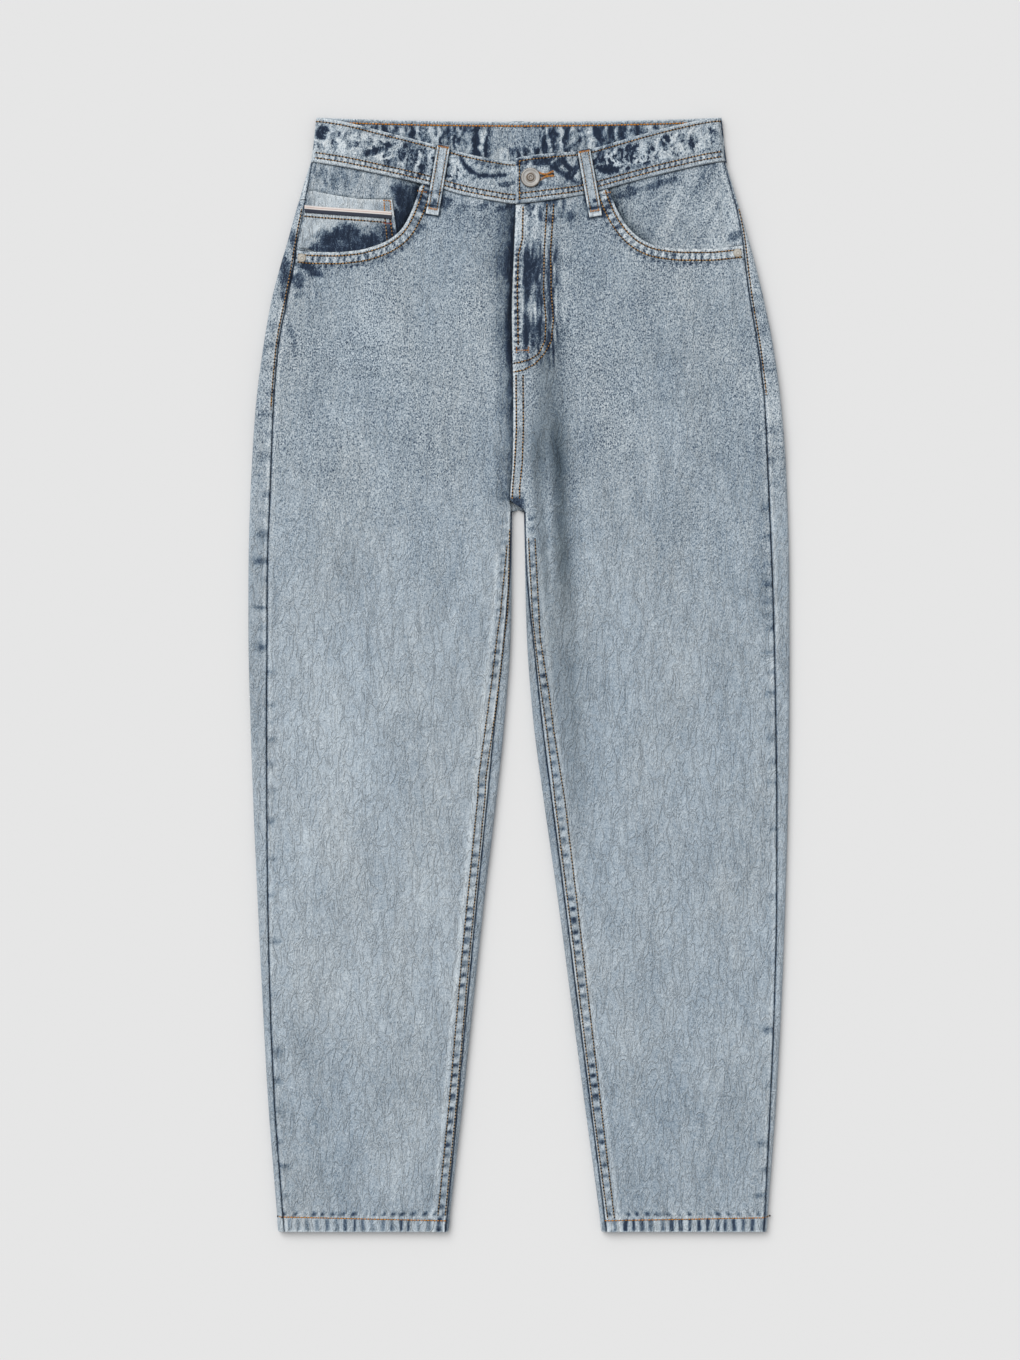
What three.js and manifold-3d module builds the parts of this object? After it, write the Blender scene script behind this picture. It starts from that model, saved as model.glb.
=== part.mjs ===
// Tapered five-pocket jeans, laid flat on their back with the front up and every panel lying on the next.
// Millimetres. X runs across the garment, Y from the hems up to the waist, Z up off the surface.
// "right" and "left" are the wearer's, so the right leg lies at -X. Each leg is worked out in `u`, the
// distance outwards from the middle of the garment, and in `down`, the distance below the waist corners.
import * as THREE from "three";
import { mergeVertices } from "three/addons/utils/BufferGeometryUtils.js";
import Module from "manifold-3d";

const wasm = await Module();
wasm.setup();

// Driving sizes
const LENGTH = 1004; // waist corner to hem, along the side
const CLOTH = 1.8; // a panel's wall, with its seam allowances
const SEAM_GAP = 0.3; // between two pieces at a seam, and between two that lie on each other
const TUBE = 7.4; // height of a leg pressed flat
const FOLD_R = TUBE / 2; // outer radius where a leg folds over at its edge
const SEAT_LIFT = 1.8; // the back pockets and loops under the seat hold it up by this
const SEAT_ENDS = [285, 330]; // the lift fades out between these, measured down
const CROTCH = 354; // down from the waist corners to the top of the gap between the legs
const CENTRE_BACK = -1; // x of the seat seam
const HEM = 12; // depth of the turned-up hem
const HEM_EXTRA = 0.9; // the turn-up thickens the wall inwards by this
const HEM_PROUD = 0.5; // and outwards, on the upper side only

// Colours of the pieces
const WASHED = 0x9eabb4;
const WORN = 0xb9c4ca;
const INDIGO = 0x4a5869;
const PEWTER = 0xb4aca2;
const TAPE = 0xdcd6d2;
const ZIP = 0x6b5a3c;

// One row for each section of a leg: where its outer edge, side seam, inseam and inner edge lie.
// Above the crotch the inseam and inner edge don't exist.
const SECTIONS = {
  right: [
    { down: 0, outer: 182.7, seam: 181.4 },
    { down: 39, outer: 187.2, seam: 185.9 },
    { down: 57, outer: 192.6, seam: 188.9 },
    { down: 84, outer: 200.7, seam: 193.7 },
    { down: 111, outer: 208.2, seam: 199.0 },
    { down: 138, outer: 216.0, seam: 203.5 },
    { down: 165, outer: 223.0, seam: 208.8 },
    { down: 206, outer: 230.2, seam: 216.5 },
    { down: 255, outer: 236.6, seam: 220.7 },
    { down: 309, outer: 240.5, seam: 223.0 },
    { down: 354, outer: 242.6, seam: 224.8, inseam: 7.2, inner: 6.3 },
    { down: 399, outer: 243.7, seam: 226.4, inseam: 7.9, inner: 6.6 },
    { down: 435, outer: 243.9, seam: 226.8, inseam: 10.4, inner: 6.8 },
    { down: 471, outer: 243.8, seam: 226.9, inseam: 13.6, inner: 7.6 },
    { down: 543, outer: 242.1, seam: 227.4, inseam: 21.6, inner: 12.8 },
    { down: 615, outer: 239.6, seam: 227.2, inseam: 28.6, inner: 20.3 },
    { down: 705, outer: 235.6, seam: 226.3, inseam: 37.8, inner: 31.1 },
    { down: 795, outer: 231.2, seam: 224.2, inseam: 46.4, inner: 40.8 },
    { down: 885, outer: 226.2, seam: 220.4, inseam: 54.8, inner: 50.3 },
    { down: 975, outer: 219.2, seam: 213.8, inseam: 63.4, inner: 60.6 },
    { down: 1004, outer: 216.6, seam: 211.4, inseam: 66.4, inner: 63.9 },
  ],
  left: [
    { down: 0, outer: 181.2, seam: 180.4 },
    { down: 39, outer: 185.6, seam: 184.6 },
    { down: 57, outer: 190.8, seam: 189.0 },
    { down: 84, outer: 198.9, seam: 196.0 },
    { down: 111, outer: 207.0, seam: 201.4 },
    { down: 138, outer: 214.3, seam: 204.6 },
    { down: 165, outer: 220.7, seam: 208.2 },
    { down: 206, outer: 229.0, seam: 215.1 },
    { down: 255, outer: 235.8, seam: 221.0 },
    { down: 309, outer: 240.3, seam: 223.9 },
    { down: 354, outer: 242.3, seam: 225.9, inseam: 5.4, inner: 4.5 },
    { down: 399, outer: 243.5, seam: 227.8, inseam: 6.6, inner: 5.4 },
    { down: 435, outer: 243.8, seam: 229.0, inseam: 9.2, inner: 6.0 },
    { down: 471, outer: 243.9, seam: 230.0, inseam: 13.0, inner: 7.2 },
    { down: 543, outer: 243.7, seam: 231.4, inseam: 20.6, inner: 12.8 },
    { down: 615, outer: 242.6, seam: 232.3, inseam: 29.6, inner: 22.2 },
    { down: 705, outer: 240.2, seam: 232.2, inseam: 41.2, inner: 35.0 },
    { down: 795, outer: 236.7, seam: 230.2, inseam: 52.4, inner: 46.8 },
    { down: 885, outer: 232.0, seam: 226.6, inseam: 63.8, inner: 58.6 },
    { down: 975, outer: 225.2, seam: 222.2, inseam: 75.2, inner: 70.8 },
    { down: 1004, outer: 222.9, seam: 220.6, inseam: 78.8, inner: 74.6 },
  ],
};

// The edge of the left front over the right one, from the waistband to the crotch.
const CENTRE_FRONT = [
  { down: 0, x: -1.0 },
  { down: 80, x: -3.2 },
  { down: 125, x: -5.1 },
  { down: 177, x: -6.8 },
  { down: 210, x: -6.3 },
  { down: 255, x: -5.5 },
  { down: 312, x: -6.1 },
  { down: 334, x: -7.8 },
  { down: 344, x: -8.4 },
];

// The front waistband's upper and lower edges. The front dips well below the back between the side folds.
const FRONT_BAND = {
  right: [
    { x: -187.2, top: 0, bottom: 40.6 },
    { x: -160.0, top: 4.0, bottom: 44.8 },
    { x: -124.0, top: 12.8, bottom: 52.0 },
    { x: -78.0, top: 24.6, bottom: 62.6 },
    { x: -50.0, top: 32.4, bottom: 70.6 },
    { x: -22.0, top: 38.2, bottom: 76.0 },
    { x: -5.0, top: 40.2, bottom: 78.2 },
    { x: 5.0, top: 39.4, bottom: 77.0 },
    { x: 18.0, top: 37.8, bottom: 75.0 },
    { x: 31.0, top: 36.4, bottom: 73.0 },
  ],
  left: [
    { x: -3.2, top: 38.0, bottom: 78.8 },
    { x: 3.0, top: 36.2, bottom: 78.2 },
    { x: 20.0, top: 34.0, bottom: 76.2 },
    { x: 52.0, top: 31.0, bottom: 71.4 },
    { x: 66.0, top: 28.6, bottom: 68.2 },
    { x: 88.0, top: 22.4, bottom: 62.2 },
    { x: 115.0, top: 14.6, bottom: 55.0 },
    { x: 143.0, top: 7.4, bottom: 48.2 },
    { x: 170.0, top: 1.8, bottom: 42.2 },
    { x: 185.6, top: 0, bottom: 39.6 },
  ],
};
const BAND_THICK = 3.0; // doubled cloth with its turnings
const BAND_REST = 6.4; // height of the front band's underside
const BAND_HEIGHT = 40.8;
const BACK_SAG = 3.8; // the back band's edge hangs this far below the waist corners at the middle
const LAP = { from: -3.2, to: 31, rampFrom: 34, rampTo: 50, rise: 2.0, dip: 1.3, dipFrom: -28, dipTo: -11 };

// The curved edge of each front pocket, from the side seam to the waistband.
const POCKET_MOUTH = {
  right: [
    { u: 200.4, down: 120.2 },
    { u: 187.6, down: 121.6 },
    { u: 166.9, down: 122.0 },
    { u: 146.3, down: 120.4 },
    { u: 125.6, down: 114.8 },
    { u: 113.1, down: 108.0 },
    { u: 104.9, down: 100.0 },
    { u: 98.1, down: 88.0 },
    { u: 92.4, down: 73.6 },
    { u: 88.6, down: 60.8 },
  ],
  left: [
    { u: 201.9, down: 115.7 },
    { u: 191.9, down: 117.0 },
    { u: 169.5, down: 118.9 },
    { u: 147.1, down: 118.8 },
    { u: 124.7, down: 116.2 },
    { u: 112.8, down: 111.8 },
    { u: 102.3, down: 104.0 },
    { u: 93.3, down: 92.8 },
    { u: 86.0, down: 79.0 },
    { u: 80.6, down: 64.6 },
  ],
};
const MOUTH_UNDERLAP = 8; // the facing runs on under the front by this
const FACING_THICK = 1.2;
// How far each facing lies below the front's own surface: deepest by the mouth, where it runs in under.
const FACING_DIP = { right: { far: 1.9, near: 3.5 }, left: { far: 1.6, near: 2.4 } };
const FACING_REACH = { from: 8, to: 25 };
const COIN_THICK = 1.0;

// Soft folds in the front: a ridge (or, with a negative rise, a trough) along a straight line.
const FOLDS = [
  { x0: 9, down0: 300, x1: 21, down1: 440, width: 5, rise: 2.6 },
  { x0: 25, down0: 296, x1: 38, down1: 640, width: 6, rise: 2.4 },
  { x0: 48, down0: 320, x1: 58, down1: 600, width: 9, rise: -1.2 },
  { x0: -21, down0: 300, x1: -31, down1: 460, width: 8, rise: 1.4 },
  { x0: -44, down0: 330, x1: -60, down1: 560, width: 12, rise: -0.8 },
  { x0: 150, down0: 560, x1: 128, down1: 820, width: 20, rise: 0.9 },
  { x0: -150, down0: 520, x1: -128, down1: 780, width: 20, rise: 0.9 },
];
const FLY_STEP = 1.8; // the right front drops this far under the left one's edge
const FLY_STEP_BELOW = 0.8; // and this far below the fly
const FLY_END = 210;

// Heights of the rows that a leg's front and back share
const LEG_ROWS = [165, 195, 225, 255, 285, 312, 332, 344, 350, 354, 372, 399, 435, 471, 507, 543, 579, 615,
  660, 705, 750, 795, 840, 885, 930, 965, 990, 992.5, 1004];
const YOKE = { side: 75, middle: 116 }; // the yoke seam, down at the side seam and at the seat seam
const YOKE_ROWS = [41.3, 54, 67.2]; // at the side seam, down to the yoke seam
const HIP_ROWS = [91, 106]; // at the side seam, between the yoke seam and the pocket's mouth
const MOUTH_SHARES = [0.25, 0.5, 0.75, 1]; // rows from the first of LEG_ROWS up to the mouth
const SIDE_CELLS = 8;
const UNDER_CELLS = 4;
const INNER_CELLS = 6;
const SEAT_INNER = 16; // above the crotch, the width by the seat seam that turns into the inner fold
const UNDER_SHARE = 0.92; // of the seat's width, up to there

const group = new THREE.Group();

function smooth(low, high, value) {
  const t = Math.min(1, Math.max(0, (value - low) / (high - low)));
  return t * t * (3 - 2 * t);
}

const mix = (a, b, t) => a + (b - a) * t;

// A monotone cubic through a table's `name` column, read at `at` along its `by` column.
function curve(table, by, name, at) {
  const rows = table.filter((row) => row[name] !== undefined);
  const last = rows.length - 1;
  if (at <= rows[0][by]) return rows[0][name];
  if (at >= rows[last][by]) return rows[last][name];
  const slope = (i) => (rows[i + 1][name] - rows[i][name]) / (rows[i + 1][by] - rows[i][by]);
  const tangent = (i) => {
    if (i === 0) return slope(0);
    if (i === last) return slope(last - 1);
    const [a, b] = [slope(i - 1), slope(i)];
    return a * b <= 0 ? 0 : (2 * a * b) / (a + b);
  };
  const i = rows.findIndex((row, n) => n < last && at <= rows[n + 1][by]);
  const span = rows[i + 1][by] - rows[i][by];
  const t = (at - rows[i][by]) / span;
  const eased = t * t * (3 - 2 * t);
  const lean = span * (tangent(i) * t * (1 - t) * (1 - t) - tangent(i + 1) * t * t * (1 - t));
  return mix(rows[i][name], rows[i + 1][name], eased) + lean;
}

const SIGN = { right: -1, left: 1 };
const section = (side, name, down) => curve(SECTIONS[side], "down", name, down);
const floorAt = (down) => SEAT_LIFT * (1 - smooth(SEAT_ENDS[0], SEAT_ENDS[1], down));
const point = (side, u, down, z) => [SIGN[side] * u, LENGTH / 2 - down, z];

// How far soft folds and the step at the fly raise the front at a place.
function relief(x, down) {
  let rise = 0;
  for (const fold of FOLDS) {
    const [dx, dd] = [fold.x1 - fold.x0, fold.down1 - fold.down0];
    const t = ((x - fold.x0) * dx + (down - fold.down0) * dd) / (dx * dx + dd * dd);
    const away = ((x - fold.x0) * dd - (down - fold.down0) * dx) / Math.hypot(dx, dd);
    const along = smooth(-0.12, 0.15, t) * (1 - smooth(0.7, 1.1, t));
    rise += fold.rise * along * Math.exp(-(away * away) / (2 * fold.width * fold.width));
  }
  const edge = curve(CENTRE_FRONT, "down", "x", down);
  const step = mix(FLY_STEP, FLY_STEP_BELOW, smooth(FLY_END - 15, FLY_END + 15, down));
  if (x < edge && down < CROTCH) rise -= step * smooth(edge - 16, edge - 2, x);
  return rise;
}

// The upper side of a leg at (u, down): the point, and the direction out of the cloth.
function upper(side, u, down, proud = 0) {
  const middle = floorAt(down) + FOLD_R;
  const outer = section(side, "outer", down);
  const toInner = down >= CROTCH ? u - section(side, "inner", down) : Infinity;
  const toOuter = outer - u;
  const near = Math.max(0, Math.min(toOuter, toInner));
  const lean = Math.max(0, 1 - near / FOLD_R);
  const stand = Math.sqrt(1 - lean * lean);
  const raised = relief(SIGN[side] * u, down) * smooth(1, 14, toOuter) * smooth(0.5, 9, toInner);
  const outwards = toOuter < toInner ? 1 : -1;
  const normal = [SIGN[side] * outwards * lean, 0, stand];
  return { at: point(side, u, down, middle + FOLD_R * stand + raised + proud), normal };
}

// The back's way round a leg, from the side seam over the outer fold, under, and up to the inseam.
// `t` runs from 0 to 1 over the outer fold, to 2 along the underside and to 3 at the inner end.
function round(side, down, t) {
  const middle = floorAt(down) + FOLD_R;
  const outer = section(side, "outer", down);
  const start = section(side, "seam", down) + SEAM_GAP / 2;
  const arc = (edge, outwards, angle) => {
    const normal = [SIGN[side] * outwards * Math.sin(angle), 0, Math.cos(angle)];
    const u = edge - outwards * FOLD_R * (1 - Math.sin(angle));
    return { at: point(side, u, down, middle + FOLD_R * Math.cos(angle)), normal };
  };
  if (t <= 1) {
    const flat = Math.max(0, outer - FOLD_R - start);
    const first = Math.asin(Math.min(1, Math.max(0, 1 - (outer - start) / FOLD_R)));
    const way = t * (flat + FOLD_R * (Math.PI - first));
    if (way < flat) return upper(side, start + way, down);
    return arc(outer, 1, first + (way - flat) / FOLD_R);
  }
  const isLeg = down >= CROTCH;
  const inner = isLeg ? section(side, "inner", down) : 0;
  const centre = SIGN[side] * CENTRE_BACK + SEAM_GAP / 2;
  const flatEnd = isLeg ? inner + FOLD_R : centre + SEAT_INNER;
  const below = { z: floorAt(down), normal: [0, 0, -1] };
  if (t <= 2) {
    const u = mix(outer - FOLD_R, flatEnd, t - 1);
    return { at: point(side, u, down, below.z), normal: below.normal };
  }
  if (!isLeg) {
    return { at: point(side, mix(flatEnd, centre, t - 2), down, below.z), normal: below.normal };
  }
  const end = section(side, "inseam", down) - SEAM_GAP / 2;
  const flat = Math.max(0, end - inner - FOLD_R);
  const last = Math.asin(Math.min(1, Math.max(0, 1 - (end - inner) / FOLD_R)));
  const way = (t - 2) * (flat + FOLD_R * (Math.PI - last));
  const turn = FOLD_R * (Math.PI - last);
  if (way <= turn) return arc(inner, -1, Math.PI - way / FOLD_R);
  return upper(side, inner + FOLD_R + way - turn, down);
}

const inwards = (spot, depth) => spot.at.map((c, i) => c - spot.normal[i] * depth);

// A closed wall: a grid of points for its outer face, one for its inner face, and a rim that joins them.
function wall(outer, inner) {
  const [rows, cols] = [outer.length, outer[0].length];
  const id = (face, i, j) => (face * rows + i) * cols + j;
  const index = [];
  const quad = (a, b, c, d) => index.push(a, b, c, a, c, d);
  for (let i = 0; i < rows - 1; i++) {
    for (let j = 0; j < cols - 1; j++) {
      quad(id(0, i, j), id(0, i, j + 1), id(0, i + 1, j + 1), id(0, i + 1, j));
      quad(id(1, i, j), id(1, i + 1, j), id(1, i + 1, j + 1), id(1, i, j + 1));
    }
  }
  const [r, c] = [rows - 1, cols - 1];
  for (let j = 0; j < c; j++) {
    quad(id(0, 0, j + 1), id(0, 0, j), id(1, 0, j), id(1, 0, j + 1));
    quad(id(0, r, j), id(0, r, j + 1), id(1, r, j + 1), id(1, r, j));
  }
  for (let i = 0; i < r; i++) {
    quad(id(0, i, 0), id(0, i + 1, 0), id(1, i + 1, 0), id(1, i, 0));
    quad(id(0, i + 1, c), id(0, i, c), id(1, i, c), id(1, i + 1, c));
  }
  const places = [outer, inner].flat(3);
  const v = (n) => new THREE.Vector3(...places.slice(3 * n, 3 * n + 3));
  let volume = 0;
  for (let n = 0; n < index.length; n += 3) {
    volume += v(index[n]).dot(v(index[n + 1]).cross(v(index[n + 2])));
  }
  if (volume < 0) index.reverse();
  const geometry = new THREE.BufferGeometry();
  geometry.setAttribute("position", new THREE.Float32BufferAttribute(places, 3));
  geometry.setIndex(index);
  return geometry;
}

function add(name, geometry, color, roughness = 0.9, metalness = 0) {
  const mesh = new THREE.Mesh(geometry, new THREE.MeshStandardMaterial({ color, roughness, metalness }));
  mesh.name = name;
  group.add(mesh);
  return mesh;
}

const grid = (rows, cols, make) => rows.map((r, i) => cols.map((c, j) => make(r, c, i, j)));
const steps = (from, to, count) => Array.from({ length: count + 1 }, (_, n) => mix(from, to, n / count));
const bandLow = (side, x) => curve(FRONT_BAND[side], "x", "bottom", x);
const mouthRow = (side) => POCKET_MOUTH[side][0].down + SEAM_GAP;
const hipRows = (side) => MOUTH_SHARES.map((t) => mix(LEG_ROWS[0], mouthRow(side), t)).reverse();
const BAND_COLUMNS = [74, 62, 50, 38, 28, 19, 11]; // u where the band and a front share their columns

// Where a front ends towards the middle: the centre front down to the crotch, then the inseam.
function frontInner(side, down) {
  const rows = CENTRE_FRONT.map((row) => ({ down: row.down, u: SIGN[side] * row.x }));
  const legs = SECTIONS[side].filter((row) => row.inseam).map((row) => ({ down: row.down, u: row.inseam }));
  return curve([...rows, ...legs], "down", "u", down) + SEAM_GAP / 2;
}

// A front: from the hem up to the waistband and the pocket's mouth. Its columns keep their share of the
// width all the way, and are placed where the pocket's curve needs them.
function front(side) {
  const ends = POCKET_MOUTH[side].map(({ u, down }) => ({ u, down: down + SEAM_GAP }));
  for (const u of BAND_COLUMNS) {
    ends.push({ u, down: bandLow(side, SIGN[side] * u) + SEAM_GAP });
  }
  const edge = frontInner(side, 80);
  ends.push({ u: edge, down: bandLow(side, SIGN[side] * edge) + SEAM_GAP });
  const share = ends.map(({ u, down }, n) => {
    const seam = section(side, "seam", down) - SEAM_GAP / 2;
    return n === 0 ? 0 : (seam - u) / (seam - frontInner(side, down));
  });
  share[share.length - 1] = 1;
  const spot = (down, j) => {
    const u = mix(section(side, "seam", down) - SEAM_GAP / 2, frontInner(side, down), share[j]);
    const proud = down > LENGTH - HEM ? HEM_PROUD : 0;
    return upper(side, u, down, proud);
  };
  const rise = [...MOUTH_SHARES].reverse();
  const rows = [...rise.map((t) => ({ t })), ...LEG_ROWS.map((down) => ({ down }))];
  const place = ({ t, down }, j) => spot(down ?? mix(LEG_ROWS[0], ends[j].down, t), j);
  const depth = ({ down }) => CLOTH + (down > LENGTH - HEM ? HEM_EXTRA + HEM_PROUD : 0);
  const outer = grid(rows, ends, (row, _, i, j) => place(row, j).at);
  const inner = grid(rows, ends, (row, _, i, j) => inwards(place(row, j), depth(row)));
  add("front_" + side, wall(outer, inner), WASHED);
}

const ROUND_AT = [
  ...steps(0, 1, SIDE_CELLS),
  ...steps(1, 2, UNDER_CELLS).slice(1),
  ...steps(2, 3, INNER_CELLS).slice(1),
];

// The yoke seam and its neighbours run down to the middle in a shallow V, which fades out below them.
function veeAt(t) {
  const across = t <= 2 ? UNDER_SHARE * Math.max(0, t - 1) : mix(UNDER_SHARE, 1, t - 2);
  return (YOKE.middle - YOKE.side) * across;
}

// A back: below the yoke, round both edges of the leg to the seams on the upper side.
function back(side) {
  const rows = [YOKE.side + SEAM_GAP / 2, ...HIP_ROWS, ...hipRows(side), ...LEG_ROWS];
  const fade = (down) => 1 - smooth(YOKE.side, 320, down);
  const place = (row, t) => round(side, row + veeAt(t) * fade(row), t);
  const depth = (row) => CLOTH + (row > LENGTH - HEM ? HEM_EXTRA : 0);
  const outer = grid(rows, ROUND_AT, (row, t) => place(row, t).at);
  const inner = grid(rows, ROUND_AT, (row, t) => inwards(place(row, t), depth(row)));
  add("back_" + side, wall(outer, inner), WASHED);
}

const backBandTop = (x) => BACK_SAG * Math.max(0, 1 - (x / SECTIONS.right[0].outer) ** 2);

// A yoke: the shaped piece between the back waistband and the back.
function yoke(side) {
  const [first] = YOKE_ROWS;
  const low = YOKE.side - SEAM_GAP / 2;
  const place = (row, t) => {
    const u = Math.abs(round(side, first, t).at[0]);
    const top = Math.max(backBandTop(u) + BAND_HEIGHT + SEAM_GAP, first);
    return round(side, mix(top, low + veeAt(t), (row - first) / (low - first)), t);
  };
  const rows = [...YOKE_ROWS, low];
  const outer = grid(rows, ROUND_AT, (row, t) => place(row, t).at);
  const inner = grid(rows, ROUND_AT, (row, t) => inwards(place(row, t), CLOTH));
  add("yoke_" + side, wall(outer, inner), WASHED);
}

// Columns by the side fold of a band, as distances in from its edge.
const FOLD_COLUMNS = [0.06, 0.5, 1.4, 2.6, FOLD_R];

// A front waistband. At the lap the left one rises over the right one, which dips under it.
function frontBand(side) {
  const table = FRONT_BAND[side];
  const middle = side === "right" ? [5, -4, -14, -23, -LAP.to] : [2, LAP.from];
  const ramp = side === "right" ? [] : [LAP.to, LAP.rampFrom, 44];
  const fixed = [...facingTops(side), ...BAND_COLUMNS, ...middle, ...ramp].sort((p, q) => q - p);
  const columns = [...FOLD_COLUMNS.map((off) => ({ off })), ...fixed.map((u) => ({ u }))];
  const place = (share, { off, u }, isTop) => {
    const edge = section(side, "outer", BAND_HEIGHT * share);
    const x = SIGN[side] * (u ?? edge - off);
    const down = mix(curve(table, "x", "top", x), curve(table, "x", "bottom", x), share);
    const lap = side === "right"
      ? -LAP.dip * smooth(LAP.dipFrom, LAP.dipTo, x)
      : LAP.rise * (1 - smooth(LAP.rampFrom, LAP.rampTo, x));
    const low = BAND_REST + lap;
    if (!isTop) return [x, LENGTH / 2 - down, low];
    const lean = off === undefined ? 0 : 1 - off / FOLD_R;
    const fold = BAND_REST - FOLD_R + (FOLD_R + BAND_THICK) * Math.sqrt(1 - lean * lean);
    return [x, LENGTH / 2 - down, Math.max(fold + lap, low + 0.2)];
  };
  const shares = steps(0, 1, 3);
  const outer = grid(shares, columns, (share, column) => place(share, column, true));
  const inner = grid(shares, columns, (share, column) => place(share, column, false));
  return wall(outer, inner);
}

// The back waistband, whose inner face shows above the front's.
function backBand() {
  const fold = (side) => FOLD_COLUMNS.map((off) => ({ side, off }));
  const flat = steps(-1, 1, 14).slice(1, -1).map((w) => ({ x: 180 * w }));
  const columns = [...fold("right"), ...flat, ...fold("left").reverse()];
  const place = (share, { side, off, x }, isTop) => {
    const edge = side && section(side, "outer", BAND_HEIGHT * share);
    const at = x ?? SIGN[side] * (edge - off);
    const y = LENGTH / 2 - backBandTop(at) - BAND_HEIGHT * share;
    if (isTop) return [at, y, SEAT_LIFT + BAND_THICK];
    const lean = off === undefined ? 0 : 1 - off / FOLD_R;
    const low = SEAT_LIFT + FOLD_R * (1 - Math.sqrt(1 - lean * lean));
    return [at, y, Math.min(low, SEAT_LIFT + BAND_THICK - 0.2)];
  };
  const shares = steps(0, 1, 3);
  const outer = grid(shares, columns, (share, column) => place(share, column, true));
  const inner = grid(shares, columns, (share, column) => place(share, column, false));
  add("waistband_back", wall(outer, inner), WORN);
}

// How far the pocket's facing lies below the front's own surface. It meets the side seam level.
function facingDip(side, u, down) {
  const mouth = POCKET_MOUTH[side];
  let away = Infinity;
  for (let n = 1; n < mouth.length; n++) {
    const [a, b] = [mouth[n - 1], mouth[n]];
    const [du, dd] = [b.u - a.u, b.down - a.down];
    const t = Math.min(1, Math.max(0, ((u - a.u) * du + (down - a.down) * dd) / (du * du + dd * dd)));
    away = Math.min(away, Math.hypot(u - a.u - t * du, down - a.down - t * dd));
  }
  const { near, far } = FACING_DIP[side];
  const dip = mix(near, far, smooth(FACING_REACH.from, FACING_REACH.to, away));
  return dip * smooth(0, 13, section(side, "seam", down) - u);
}

// The pocket's edge, moved out under the front by `lap`, but not close to the side seam.
function mouthEnd(side, share, lap) {
  const mouth = POCKET_MOUTH[side];
  const place = share * (mouth.length - 1);
  const n = Math.min(mouth.length - 2, Math.floor(place));
  const [a, b] = [mouth[n], mouth[n + 1]];
  const u = mix(a.u, b.u, place - n);
  const down = mix(a.down, b.down, place - n);
  const length = Math.hypot(b.u - a.u, b.down - a.down);
  const from = section(side, "seam", down) - u;
  const out = lap * smooth(13, 26, from) - SEAM_GAP * (1 - smooth(10, 13, from));
  return { u: u + (out * (b.down - a.down)) / length, down: down - (out * (b.u - a.u)) / length };
}

// The facings' columns: where each leaves the band, and how far along the mouth it ends. The coin pocket
// ends at the one that is marked.
const FACING_COLUMNS = [
  { top: 1.0, end: 0 },
  { top: 0.95, end: 0.06 },
  { top: 0.88, end: 0.13 },
  { top: 0.78, end: 0.22 },
  { top: 0.66, end: 0.31 },
  { top: 0.54, end: 0.4 },
  { top: 0.43, end: 0.48 },
  { top: 0.345, end: 0.555, isCoin: true },
  { top: 0.25, end: 0.64 },
  { top: 0.16, end: 0.74 },
  { top: 0.08, end: 0.86 },
  { top: 0, end: 1 },
];
const COIN_TOP = [
  { u: 100, down: 74.6 },
  { u: 114.6, down: 74.6 },
  { u: 140, down: 74.2 },
  { u: 160, down: 71.6 },
  { u: 184, down: 67.2 },
];

function facingTop(side, top) {
  const seam = section(side, "seam", YOKE_ROWS[0]) - SEAM_GAP / 2;
  return mix(mouthEnd(side, 1, MOUTH_UNDERLAP).u, seam, top);
}

const facingTops = (side) => FACING_COLUMNS.slice(1).map(({ top }) => facingTop(side, top));

// A facing's grid, row by row: down the side seam it has the rows of the yoke and the back beside it.
function facingGrid(side) {
  const sideRows = [...YOKE_ROWS, YOKE.side, ...HIP_ROWS, mouthRow(side) - 2 * SEAM_GAP];
  const coinRow = YOKE_ROWS.length - 1;
  return grid(sideRows, FACING_COLUMNS, (row, { top, end }, i) => {
    const low = mouthEnd(side, end, MOUTH_UNDERLAP);
    const high = { u: facingTop(side, top) };
    high.down = Math.max(bandLow(side, SIGN[side] * high.u) + SEAM_GAP, YOKE_ROWS[0]);
    const coinDown = curve(COIN_TOP, "u", "down", mix(high.u, low.u, 0.3));
    const [first, last] = [sideRows[0], sideRows[sideRows.length - 1]];
    const down = i <= coinRow
      ? mix(high.down, coinDown, (row - first) / (sideRows[coinRow] - first))
      : mix(coinDown, low.down, (row - sideRows[coinRow]) / (last - sideRows[coinRow]));
    const across = end === 0
      ? section(side, "seam", row) - SEAM_GAP / 2
      : mix(high.u, low.u, (down - high.down) / (low.down - high.down));
    const skin = upper(side, across, end === 0 ? row : down);
    const dip = facingDip(side, across, end === 0 ? row : down);
    return { at: inwards(skin, dip), normal: skin.normal };
  });
}

// The facing that shows in the pocket's mouth, from the side seam in under the front.
function facing(side) {
  const skin = facingGrid(side);
  const cells = (depth) => skin.map((row) => row.map((spot) => inwards(spot, depth)));
  add("pocket_facing_" + side, wall(cells(0), cells(FACING_THICK)), WORN);
}

// A place on a grid of spots, by row and column numbers that needn't be whole.
function between(spots, i, j) {
  const [a, b] = [Math.min(spots.length - 2, Math.floor(i)), Math.min(spots[0].length - 2, Math.floor(j))];
  const blend = (name) => [0, 1, 2].map((c) => {
    const near = mix(spots[a][b][name][c], spots[a][b + 1][name][c], j - b);
    const far = mix(spots[a + 1][b][name][c], spots[a + 1][b + 1][name][c], j - b);
    return mix(near, far, i - a);
  });
  return { at: blend("at"), normal: blend("normal") };
}

// The coin pocket on the right facing, made from the facing's own points, and the woven tape across it.
const COIN = { sideInset: 0.3, lowInset: 0.15 };
const COIN_TAPE = { thick: 0.5, top: 1.14, bottom: 1.52, inset: 0.07 };

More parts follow.
